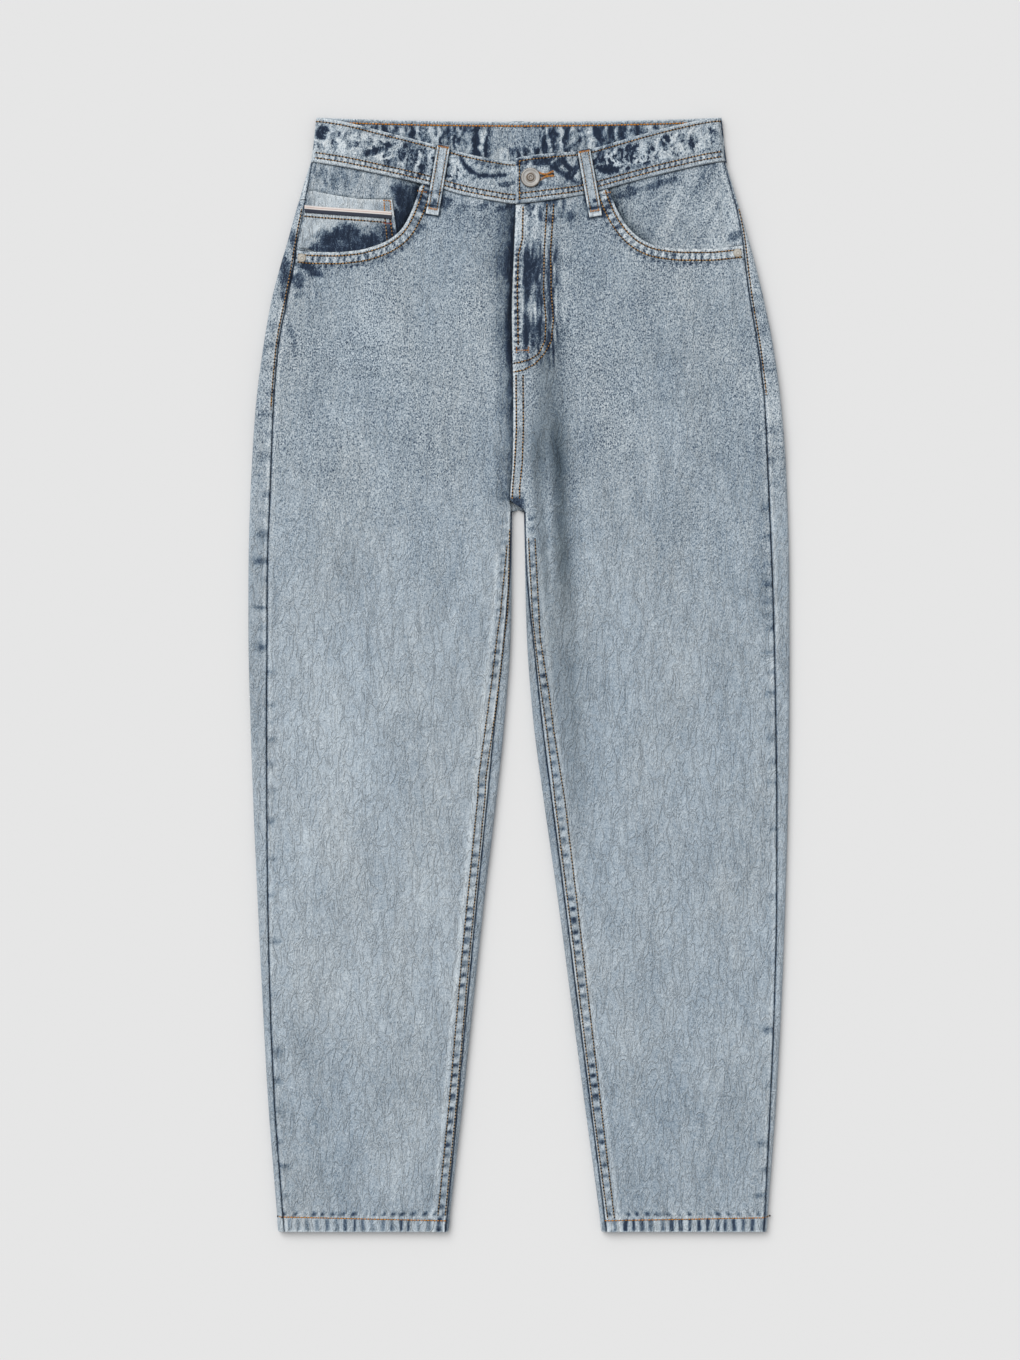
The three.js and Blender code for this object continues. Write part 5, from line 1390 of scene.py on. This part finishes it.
# x, down, half length, half width, lean, depth
BAND_DYE = {
    "right": [
        (-127, 31, 3.2, 16, 17, 0.5), (-150, 25, 4, 8, 14, 0.24), (-137, 24, 4, 6, 0, 0.2),
        (-178, 14, 6, 7, 60, 0.42), (-165, 17, 5, 6, 40, 0.25), (-97, 38, 15, 4.5, -20, 0.46),
        (-88, 47, 12, 4, -18, 0.44),
        (-104, 30, 9, 5, -30, 0.34), (-86, 30, 7, 3.6, 0, 0.32), (-112, 40, 4, 10, 20, 0.3),
        (-20, 44, 4, 8, 10, 0.26), (-30, 39.5, 3, 9, 8, 0.25), (-60, 32, 5, 6, 0, 0.16),
        (-58, 56, 7, 3, 0, 0.22), (-64, 47, 9, 3, -20, 0.3), (-100, 57, 4, 8, 12, 0.2),
        (-11, 61, 2.4, 7, 8, 0.42), (-141, 12, 3, 9, 14, 0.3), (-116, 18, 3, 6, 16, 0.28),
    ],
    "left": [
        (19, 40, 4, 8, 0, 0.4), (29, 38, 6, 3, -30, 0.4), (38, 42, 9, 3.4, -40, 0.4),
        (48, 50, 9, 3, -48, 0.44), (2, 41, 3, 6, 0, 0.3), (56, 40, 6, 4, -30, 0.3),
        (73, 38, 10, 3.6, -10, 0.42), (80, 48, 2.8, 9, -8, 0.46), (92, 36, 8, 4, -10, 0.38),
        (101, 32, 8, 4.5, 0, 0.42), (104, 45, 3, 6, 0, 0.3), (118, 28, 6, 6, 0, 0.36),
        (131, 24, 7, 4, 0, 0.32), (147, 19, 5, 6, 0, 0.32), (156, 22, 5, 4, 0, 0.42),
        (139, 33, 4, 5, 0, 0.22),
        (168, 13, 4, 5, 0, 0.25), (84, 28, 5, 4, 0, 0.3), (46, 61, 2, 14, 6, 0.1), (24, 62, 3, 8, 0, 0.16),
        (60, 57, 6, 3, -30, 0.3),
    ],
}
# x, down along each crease that kept its dye
BAND_CREASES = {
    "right": [[(-54, 34), (-50, 42), (-44, 49), (-35, 53.4), (-24, 53.6), (-13, 52.6)]],
    "left": [[(22, 38), (30, 46), (42, 53), (50, 58)], [(70, 48), (78, 49.6), (88, 48.4)],
             [(36, 37), (46, 47)]],
}


def band_place(side, share, x):
    return curve(BAND_EDGES[side], 1, x) * (1 - share) + curve(BAND_EDGES[side], 2, x) * share


def band_heights(side, x, share):
    """Heights of a front band's upper and under side."""
    lap = -LAP_RIGHT["dip"] * smooth(LAP_RIGHT["from"], LAP_RIGHT["to"], x)
    if side == "left":
        lap = LAP_LEFT["rise"] * (1 - smooth(LAP_LEFT["from"], LAP_LEFT["to"], x))
    edge = section(side, "outer", BAND_HEIGHT * share)
    lean = np.clip(1 - (edge - SIGN[side] * x) / FOLD_R, 0, 1)
    low = BAND_REST + lap
    high = BAND_REST - FOLD_R + (FOLD_R + BAND_THICK) * np.sqrt(1 - lean ** 2) + lap
    return np.maximum(high, low + 0.2), low


def band_finish(side, x, down, share):
    from_top, from_low = share * BAND_HEIGHT, (1 - share) * BAND_HEIGHT
    body = smooth(5, 9, from_top) * smooth(10, 15, from_low)
    gather, second = pucker(91, x, 5.4), pucker(92, x, 4.2)
    tone = (0.36 if side == "right" else 0.46) + 0.05 * cloud(93, x, down, 12)
    tone -= 0.06 * smooth(120, 170, np.abs(x))
    tone += (1.05 - 0.35 * smooth(100, 135, x)) * dabs(x, down, BAND_DYE[side], seed=94, rough=2.6)
    tone += 0.12 * cloud(99, x, down, 2.6) * body + 0.1 * wander(90, x + 0.3 * down, 2.4) * body
    tone += 0.17 * np.clip(pucker(95, x + 0.5 * down, 6.5), -0.5, 1) * bell(from_top - 6.6, 2.8)
    tone -= 0.16 * bell(from_top, 1.7)
    tone += 0.5 * np.clip(gather, -0.3, 1) * bell(from_low - 6.4, 2.2, 4)
    tone += 0.18 * np.clip(second, 0, 1) * bell(from_low - 11, 2)
    tone -= 0.12 * bell(from_low - 1.5, 1.6)
    rise = 0.28 * cloud(96, x, down, 5) * body + 0.2 * cloud(97, x, down, 11) * body
    rise += 0.22 * gather * bell(from_low - 6.4, 2.4, 4) + 0.25 * bell(from_low - 2, 1.6)
    rise += 0.16 * bell(from_top - 1.8, 1.3)
    for crease in BAND_CREASES[side]:
        away, way = beside(x, down, crease)
        tone += 0.62 * bell(away, 2.1) * smooth(0, 6, way + 2)
        rise -= 0.55 * bell(away, 2.4)
    if side == "left":
        from_end = x - LAP_START
        tone -= 0.13 * bell(from_end, 2.0)
        tone += 0.3 * bell(from_end - 3.6, 1.4) * np.clip(0.5 + pucker(98, down, 9), 0, 1.3)
    # Beside the loop: a darker tone that is partly painted shade, and the painted shade passed on below
    tone += 0.3 * by_loop(side, x, down)
    mottle = (0.62 if side == "right" else 0.78 - 0.3 * smooth(105, 140, x)) * body * (
        smooth(44, 62, np.abs(x)) * 0.75 + 0.25) + 0.1
    return rise, washed(tone, 0.5, mottle, 0.75 * by_loop(side, x, down))


def band_wall(name, x, down, high, low, wash, row_gap, col_gap):
    gap = np.minimum(row_gap[:, None], col_gap[None, :])
    top = high - rolled(gap, 1.2)
    base = np.minimum(low + rolled(gap, 0.9), top - 0.15)
    made = shell(name, laid(x, down, top), laid(x, down, base), wash, [band_denim, inside_denim])
    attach(made, "root")
    return made


BAND_RIM = np.array([0, 0.25, 0.6, 1.0, 1.6])
HALF_BAND = 186.0
BACK_HALF = 182.6


def band_columns(end):
    """Shares from the side fold to the band's end, with closer columns by the fold and the end."""
    width = HALF_BAND - end
    return np.concatenate([BAND_RIM / width, np.linspace(2.4 / width, 1 - 2.4 / width, int(width / 0.95)),
                           1 - BAND_RIM[::-1] / width])


def band_rows_at(count):
    """Shares of the band's height, as a column, with closer rows by both edges."""
    inside = np.linspace(2.5, BAND_HEIGHT - 2.5, count)
    return (np.concatenate([BAND_RIM, inside, BAND_HEIGHT - BAND_RIM[::-1]]) / BAND_HEIGHT)[:, None]


def build_front_band(side):
    end = -LAP_END if side == "right" else LAP_START
    cols = band_columns(end)
    share = band_rows_at(40)
    edge = section(side, "outer", BAND_HEIGHT * share) - 0.06
    x = SIGN[side] * (edge + (end - edge) * cols)
    down = band_place(side, share, x)
    high, low = band_heights(side, x, share)
    rise, wash = band_finish(side, x, down, share + 0 * x)
    rise *= smooth(0, 4, edge - SIGN[side] * x)
    return band_wall("band_front_" + side, x, down, high + rise, low, wash,
                     ends(share[:, 0]) * BAND_HEIGHT, ends(cols) * (HALF_BAND - end))


def on_band(side, path, lift=0.12):
    """Points on a front band: x, and distance from its upper edge, or from its lower one if negative."""
    spots = even(path)
    share = np.where(spots[:, 1] < 0, 1 + spots[:, 1] / BAND_HEIGHT, spots[:, 1] / BAND_HEIGHT)
    x, down = spots[:, 0], band_place(side, share, spots[:, 0])
    high, _ = band_heights(side, x, share)
    rise, _ = band_finish(side, x, down, share)
    return laid(x, down, high + rise + lift)


band_right = build_front_band("right")
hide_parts("waistband_front_right")

# The buttonhole is cut through the left band with a keyhole-shaped punch.
BUTTON = {"x": 10.4, "down": 55.4, "r": 8.8, "shank": 2.4}
HOLE = {"eye": 3.3, "slit": 1.3, "end": 31.5, "rise": 3.2}
band_left = build_front_band("left")
slant = math.atan2(HOLE["rise"], HOLE["end"] - BUTTON["x"])
long = HOLE["end"] - BUTTON["x"]
first = math.asin(HOLE["slit"] / HOLE["eye"])
turns = np.linspace(first, 2 * math.pi - first, 28)
key = [(HOLE["eye"] * math.cos(a), HOLE["eye"] * math.sin(a)) for a in turns]
key += [(long, -HOLE["slit"]), (long + 0.8, 0), (long, HOLE["slit"])]
punch_points = [(x * math.cos(slant) - y * math.sin(slant) + BUTTON["x"],
                 x * math.sin(slant) + y * math.cos(slant) + LENGTH / 2 - BUTTON["down"], z)
                for z in (2.0, 20.0) for x, y in key]
count = len(key)
punch_mesh = bpy.data.meshes.new("punch")
punch_mesh.from_pydata([(x * MM, y * MM, z * MM) for x, y, z in punch_points], [], [
    list(range(count))[::-1], list(range(count, 2 * count))] + [
    (n, (n + 1) % count, (n + 1) % count + count, n + count) for n in range(count)])
punch = linked("punch", punch_mesh)
cut = band_left.modifiers.new("buttonhole", "BOOLEAN")
cut.object, cut.operation, cut.solver = punch, "DIFFERENCE", "EXACT"
punched = bpy.data.meshes.new_from_object(band_left.evaluated_get(bpy.context.evaluated_depsgraph_get()))
band_left.modifiers.clear()
band_left.data = punched
bpy.data.objects.remove(punch)
spots = np.array([v.co[:2] for v in punched.vertices]) / MM
x, down = spots[:, 0], LENGTH / 2 - spots[:, 1]
_, wash = band_finish("left", x, down, (down - curve(BAND_EDGES["left"], 1, x)) / BAND_HEIGHT)
layer = punched.attributes.get("wash") or punched.attributes.new("wash", "FLOAT_VECTOR", "POINT")
layer.data.foreach_set("vector", wash[:, :3].astype(np.float32).ravel())
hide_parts("waistband_front_left")


def build_back_band():
    x = np.concatenate([-BACK_HALF + BAND_RIM, np.linspace(-180, 180, 300), BACK_HALF - BAND_RIM[::-1]])
    share = band_rows_at(28)
    outer = section("right", "outer", BAND_HEIGHT * share)
    x = x * (1 + (outer / HALF_WAIST - 1) * np.abs(x / BACK_HALF) ** 3)
    down = back_band_top(x) + BAND_HEIGHT * share
    edge = outer - 0.1
    lean = np.clip(1 - (edge - np.abs(x)) / FOLD_R, 0, 1)
    from_top = share * BAND_HEIGHT + 0 * x
    label = smooth(-26, -22, x) * (1 - smooth(17, 20, x))
    label = label * smooth(8.5, 10.5, down) * (1 - smooth(26, 29, down))
    streak = wander(101, x + 2.5 * cloud(102, x, down, 7), 2.9) + 0.5 * cloud(104, x, down, 3)
    streak = np.clip(1.4 * streak, -1, 1) * smooth(3, 6, from_top)
    tone = 0.6 + 0.38 * streak * (1 - label) - 0.12 * label
    tone -= 0.4 * bell(from_top, 2.2)
    tone += 0.2 * np.clip(pucker(103, x, 5), 0, 1) * bell(from_top - 6.4, 2) * (1 - label)
    rise = (0.25 * streak - 0.3 * bell(from_top - 4, 1.2)) * (1 - label)
    rise *= smooth(0, 5, edge - np.abs(x))
    wash = washed(tone, 0.35 + 0.15 * label, 0.3 * (1 - label) * smooth(3, 7, from_top))
    high = np.full(x.shape, SEAT_LIFT + BAND_THICK) + rise
    low = np.minimum(SEAT_LIFT + FOLD_R * (1 - np.sqrt(1 - lean ** 2)), high - 0.3)
    made = band_wall("band_back", x, down, high, low, wash, ends(share[:, 0]) * BAND_HEIGHT, ends(x[0]))
    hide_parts("waistband_back")


build_back_band()
band_rows = []
for side, first_x, last_x in (("right", -182.5, -2.5), ("left", 1.2, 181.5)):
    for row in (3.6, -4.1, -8.8):
        band_rows.append(on_band(side, [(first_x, row), (last_x, row)]))
band_rows.append(on_band("left", [(0.4, 4.0), (0.4, 37.0)]))
sew("band_stitches", band_rows, faded_thread, pitch=3.0, size=(2.3, 1.15, 0.8), seed=13)
back_x = np.arange(-178.0, 178.0, 1.0)
back_rows = [laid(back_x, back_band_top(back_x) + 4.0, SEAT_LIFT + BAND_THICK)]
sew("band_back_stitches", back_rows, amber_thread, pitch=2.9, size=(3.1, 1.6, 1.2), hole=(0.8, 1.2, 0.6),
    seed=14)

# The belt loops: narrow strips with both edges turned under, folded at each end and tacked through the band.
LOOP_THICK, LOOP_OVER = 1.5, 9.7
BACK_LOOPS = {"right": -108.0, "centre": CENTRE_BACK, "left": 108.0}


def build_loop(name, start, end, is_under):
    long = math.hypot(end[0] - start[0], end[1] - start[1])
    way = np.concatenate([[0, 0.3, 0.7, 1.2], np.linspace(2, long - 2, 50),
                          long - np.array([1.2, 0.7, 0.3, 0])])
    half = LOOP_WIDTH / 2
    across = np.concatenate([-half + np.array([0, 0.2, 0.5, 0.9]), np.linspace(-half + 1.4, half - 1.4, 10),
                             half - np.array([0.9, 0.5, 0.2, 0])])
    t, side_way = way[:, None] / long, across[None, :]
    dx, dd = (end[0] - start[0]) / long, (end[1] - start[1]) / long
    x = start[0] + (end[0] - start[0]) * t + side_way * dd
    down = start[1] + (end[1] - start[1]) * t - side_way * dx
    from_side = ends(across)[None, :]
    gap = np.minimum(ends(way)[:, None], from_side)
    body = LOOP_THICK + 0.15 * bell(side_way, 3) + 0.1 * cloud(111, x, down, 4)
    if is_under:
        low, high = LOOP_THICK - body + rolled(gap, 0.7) + 0.25, np.full(x.shape, LOOP_THICK)
    else:
        low, high = np.full(x.shape, LOOP_OVER), LOOP_OVER + body - rolled(gap, 0.7)
        low = np.minimum(low, high - 0.2)
    tone = 0.3 + 0.12 * cloud(112, x, down, 5) - 0.26 * bell(from_side, 1.1)
    tone = tone + 0.3 * bell(from_side - 2.4, 0.8) * np.clip(pucker(113, way, 4), 0, 1)[:, None]
    blotch = smooth(-0.1, 0.6, cloud(114, x, down, 4))
    tone += 0.5 * blotch * smooth(0.6, 0.72, t) * (1 - smooth(0.83, 0.88, t))
    tone += 0.6 * bell(t * long - 1.2, 0.9) + 0.7 * bell(t * long - long + 7.6, 1.2)
    tone -= 0.2 * smooth(0.93, 0.96, t)
    wash = washed(tone, 0.3, 0.05)
    made = shell("loop_" + name, laid(x, down, high), laid(x, down, low), wash, [leg_denim])
    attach(made, "root")
    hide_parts("belt_loop_" + name)

    def spots(path):
        path = even(path, 0.8)
        px = start[0] + path[:, 1] * dx + path[:, 0] * dd
        pd = start[1] + path[:, 1] * dd - path[:, 0] * dx
        return laid(px, pd, LOOP_OVER + LOOP_THICK + 0.18)

    rows = [spots([(w, 2.5), (w, long - 5)]) for w in (-3.6, 3.6)]
    tacks = [spots([(-4.4, w), (4.4, w)]) for w in (2.2, long - 5.0)]
    return rows, tacks


loop_rows, loop_tacks = [], []
for side in SIDES:
    rows, tacks = build_loop("front_" + side, *FRONT_LOOPS[side], False)
    loop_rows += rows
    loop_tacks += tacks
for name, x in BACK_LOOPS.items():
    build_loop("back_" + name, (x, 3.0), (x, 56.0), True)
sew("loop_stitches", loop_rows, faded_thread, pitch=2.6, size=(2.0, 0.95, 0.7), hole=(1.1, 1.2, 0.6), seed=15)
sew("loop_tacks", loop_tacks, amber_thread, pitch=1.2, size=(0.9, 2.4, 0.9), hole=None, seed=16)

# The tack button: a two-part cap of plated brass, pressed on a nail through the band, and the small
# rivets of the same metal at the pockets' ends. The buttonhole's edge is oversewn in amber purl.


def worn_metal(name, colour, tint, roughness):
    """Dull plated metal, browner wherever its ring attribute is near 1."""
    made = material(name, roughness)
    tree = made.node_tree
    tree.nodes["Principled BSDF"].inputs["Metallic"].default_value = 0.25
    place = tree.nodes.new("ShaderNodeTexCoord").outputs["Object"]
    noise = put(tree, "ShaderNodeTexNoise", Vector=place, Scale=260.0, Detail=4.0, Roughness=0.65)
    tones = coloured(tree, noise.outputs["Fac"], [(0.35, tint), (0.62, colour)])
    grimy = put(tree, "ShaderNodeMix", data_type="RGBA", Factor=put(
        tree, "ShaderNodeAttribute", attribute_name="ring").outputs["Fac"])
    tree.links.new(tones, grimy.inputs[6])
    grimy.inputs[7].default_value = linear(96, 76, 56)
    dress(made, grimy.outputs[2], noise.outputs["Fac"], 0.35, 0.0001)
    return made


def lathe(name, node, x, down, profile, metal, segments=72, dirt=1.0):
    """A turned piece: r and z of its outline, from the middle below to the middle above."""
    turn = np.linspace(0, 2 * math.pi, segments, endpoint=False)
    rings = [(r, z) for r, z in profile if r > 0]
    points = [(x + r * math.cos(a), LENGTH / 2 - down + r * math.sin(a), z) for r, z in rings for a in turn]
    points += [(x, LENGTH / 2 - down, profile[0][1]), (x, LENGTH / 2 - down, profile[-1][1])]
    faces = []
    for k in range(len(rings) - 1):
        for n in range(segments):
            m = (n + 1) % segments
            faces.append((k * segments + n, k * segments + m, (k + 1) * segments + m, (k + 1) * segments + n))
    last = (len(rings) - 1) * segments
    for n in range(segments):
        m = (n + 1) % segments
        faces.append((m, n, len(points) - 2))
        faces.append((last + n, last + m, len(points) - 1))
    mesh = bpy.data.meshes.new(name)
    mesh.from_pydata([(px * MM, py * MM, pz * MM) for px, py, pz in points], [], faces)
    mesh.polygons.foreach_set("use_smooth", np.ones(len(faces), bool))
    mesh.materials.append(metal)
    grime = mesh.attributes.new("ring", "FLOAT", "POINT")
    radius = np.repeat([r for r, z in rings], segments)
    dark = sum(depth * bell(radius - at, width) for at, width, depth in RINGS)
    grime.data.foreach_set("value", np.append(np.clip(dirt * dark, 0, 1), [0, 0]).astype(np.float32))
    made = linked(name, mesh)
    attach(made, "root")
    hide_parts(node)


# Dark rings on the button: radius, half width, depth
RINGS = [(8.7, 0.6, 1.0), (6.8, 0.4, 0.3), (4.4, 0.5, 0.45), (3.1, 0.7, 1.0), (1.4, 0.5, 0.9), (0, 0.8, 0.4)]
pewter = worn_metal("pewter", (184, 185, 184), (166, 163, 158), 0.5)
FOOT = BAND_REST + BAND_THICK - LAP_RIGHT["dip"] + GAP
SEAT = BAND_REST + BAND_THICK + LAP_LEFT["rise"] + GAP
CAP = [  # r, height over the seat
    (8.0, 0), (8.55, 0.3), (8.8, 0.9), (8.75, 1.5), (8.5, 2.1), (8.0, 2.5), (7.5, 2.6), (7.1, 2.5),
    (6.85, 2.25), (6.6, 2.12), (5.2, 2.0), (4.6, 1.98), (4.4, 2.2), (4.15, 2.36), (3.85, 2.36), (3.6, 2.2),
    (3.4, 1.95), (3.1, 2.0), (2.9, 2.5), (2.6, 2.85), (2.1, 3.0), (1.7, 2.9), (1.45, 2.6), (1.2, 2.45),
    (0.6, 2.4), (0, 2.4),
]
lathe("tack_button", "waist_button", BUTTON["x"], BUTTON["down"],
      [(0, FOOT), (BUTTON["shank"], FOOT), (BUTTON["shank"], SEAT)] + [(r, SEAT + z) for r, z in CAP], pewter,
      segments=112)
RIVET_CAP = [(3.6, 0), (3.9, 0.25), (3.9, 0.55), (3.6, 0.9), (3.2, 1.1), (2.7, 1.12), (2.2, 1.0), (1.9, 1.1),
             (1.6, 1.45), (1.3, 1.5), (1.1, 1.25), (0.6, 1.1), (0, 1.1)]
rivet_metal = worn_metal("rivet_metal", (196, 195, 188), (178, 172, 160), 0.55)
for side, u, down in (("right", 195.4, 127.3), ("left", 196.6, 122.8)):
    spot, _ = upper(side, np.float64(u), np.float64(down))
    seat = float(spot[2]) + GAP + 0.1
    lathe("rivet_" + side + "_head", "rivet_" + side, SIGN[side] * u, down,
          [(0, seat)] + [(r, seat + z) for r, z in RIVET_CAP], rivet_metal, dirt=0.35)


def on_hole(path):
    """Points around the buttonhole, along and across its slit, on the left band."""
    path = np.asarray(path, float)
    x = BUTTON["x"] + path[:, 0] * math.cos(slant) - path[:, 1] * math.sin(slant)
    down = BUTTON["down"] - path[:, 0] * math.sin(slant) - path[:, 1] * math.cos(slant)
    share = (down - curve(BAND_EDGES["left"], 1, x)) / BAND_HEIGHT
    high, _ = band_heights("left", x, share)
    rise, _ = band_finish("left", x, down, share)
    return laid(x, down, high + rise + 0.25)


purl = [on_hole(even(row, 0.5)) for row in (
    [(8.0, 3.4), (11.0, 1.9), (14.0, 0.9), (17.0, 1.6), (21.5, 2.8)],
    [(8.0, -3.4), (11.0, -2.0), (14.0, -0.9), (17.0, -1.2), (21.5, -1.6)])]
sew("buttonhole_purl", purl, amber_thread, pitch=1.1, size=(1.0, 2.5, 1.1), hole=None, seed=17)

# Under the fly: the shield, one thickness of denim sewn to the right front, and the closed zip on it.
SHIELD = {"from": -12.0, "to": 31.0, "top": 80.5, "bottom": 226.0, "low": 3.9, "thick": 1.2}
ZIP = {"left": -2.4, "width": 26.0, "top": 82.0, "bottom": 216.0, "tape": 0.7, "tooth_pitch": 1.6}
TOOTH = (1.1, 5.6, 1.5)


def flat_cloth(name, node, x, down, low, thick, wash):
    at = laid(x, down, low + thick)
    out = np.zeros(at.shape)
    out[..., 2] = 1
    rows, cols = np.arange(x.shape[0]) * 2.0, np.arange(x.shape[1]) * 2.0
    made = cloth_wall(name, at, out, ends(rows), ends(cols), wash, [leg_denim], thick=thick, radius=0.4)
    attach(made, "root")
    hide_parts(node)


share = np.linspace(0, 1, 70)[:, None]
across = np.linspace(0, 1, 22)[None, :]
down = SHIELD["top"] + (SHIELD["bottom"] - SHIELD["top"]) * share + 0 * across
narrow = 15 * smooth(0.8, 1.0, share) ** 2
x = SHIELD["from"] + (SHIELD["to"] - narrow - SHIELD["from"]) * across
shield_wash = washed(0.45 + 0.1 * cloud(121, x, down, 14), 0.3, 0.1)
flat_cloth("fly_shield_cloth", "fly_shield", x, down, SHIELD["low"], SHIELD["thick"], shield_wash)
zip_low = SHIELD["low"] + SHIELD["thick"] + GAP
down = ZIP["top"] + (ZIP["bottom"] - ZIP["top"]) * np.linspace(0, 1, 60)[:, None] + 0 * across
x = ZIP["left"] + ZIP["width"] * across + 0 * down
tape_wash = washed(0.9 + 0.05 * cloud(122, x, down, 5), 0.1, 0.0)
flat_cloth("zip_tape", "fly_zip", x, down, zip_low, ZIP["tape"], tape_wash)
brass = worn_metal("zip_brass", (140, 118, 78), (104, 84, 52), 0.45)
zip_x = ZIP["left"] + ZIP["width"] / 2
teeth = laid(zip_x, np.linspace(ZIP["top"] + 2, ZIP["bottom"] - 2, 130), zip_low + ZIP["tape"] + 0.35)
sew_one("zip_teeth", [teeth], "zip_brass", Size=[c * MM for c in TOOTH], Odd=0, Thread=brass, Seed=18,
        Jitter=0.0, **{"Half Pitch": ZIP["tooth_pitch"] / 2 * MM})

# The back pockets: five-sided patches sewn on the seat with two rows, plain because they are never seen.
PATCH = {"top": 146.0, "bottom": 128.0, "side": 126.0, "point": 148.0, "thick": 1.3, "out": 92.0,
         "down": 124.0, "turn": 0.05, "low": 0.12}
PATCH_POINTS = 66


def build_back_pocket(side):
    across = np.linspace(-1, 1, PATCH_POINTS)[None, :]
    share = np.linspace(0, 1, PATCH_POINTS)[:, None]

    def place(across, share, inset=0.0):
        low = PATCH["side"] + (PATCH["point"] - PATCH["side"]) * (1 - np.abs(across))
        y = -(inset + (low - 2 * inset) * share)
        taper = (PATCH["bottom"] - PATCH["top"]) / 2 * np.clip(-y / PATCH["side"], 0, 1)
        x = (PATCH["top"] / 2 + taper - inset) * across
        turn = -SIGN[side] * PATCH["turn"]
        return (SIGN[side] * PATCH["out"] + x * math.cos(turn) - y * math.sin(turn),
                PATCH["down"] - x * math.sin(turn) - y * math.cos(turn))

    x, down = place(across, share)
    tone = 0.3 + 0.07 * cloud(131, x, down, 16) - 0.1 * bell(ends(share[:, 0])[:, None] * 140, 3)
    tone = tone + 0.14 * np.clip(pucker(132, down + x, 7), 0, 1) * bell((1 - np.abs(across)) * 70, 5)
    wash = washed(tone, 0.6, 0.0)
    at = laid(x, down, PATCH["low"] + 0.1 * cloud(133, x, down, 12))
    out = np.zeros(at.shape)
    out[..., 2] = -1
    gaps = ends(np.arange(PATCH_POINTS) * 2.1)
    made = cloth_wall("back_pocket_" + side + "_cloth", at, out, gaps, gaps, wash, [leg_denim],
                      thick=PATCH["thick"], radius=0.5)
    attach(made, "root")
    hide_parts("back_pocket_" + side)
    outline = [(-1, 0), (-1, 1), (0, 1), (1, 1), (1, 0)]
    rows = []
    for corners, inset in ((outline, 2.4), (outline, 8.6), ([(-1, 0), (1, 0)], 9.0)):
        spots = even([place(a, s, inset) for a, s in corners])
        rows.append(laid(spots[:, 0], spots[:, 1], PATCH["low"]))
    return rows


pocket_rows = build_back_pocket("right") + build_back_pocket("left")
sew("back_pocket_stitches", pocket_rows, faded_thread, size=(2.6, 0.9, 0.4), hole=None, seed=19)
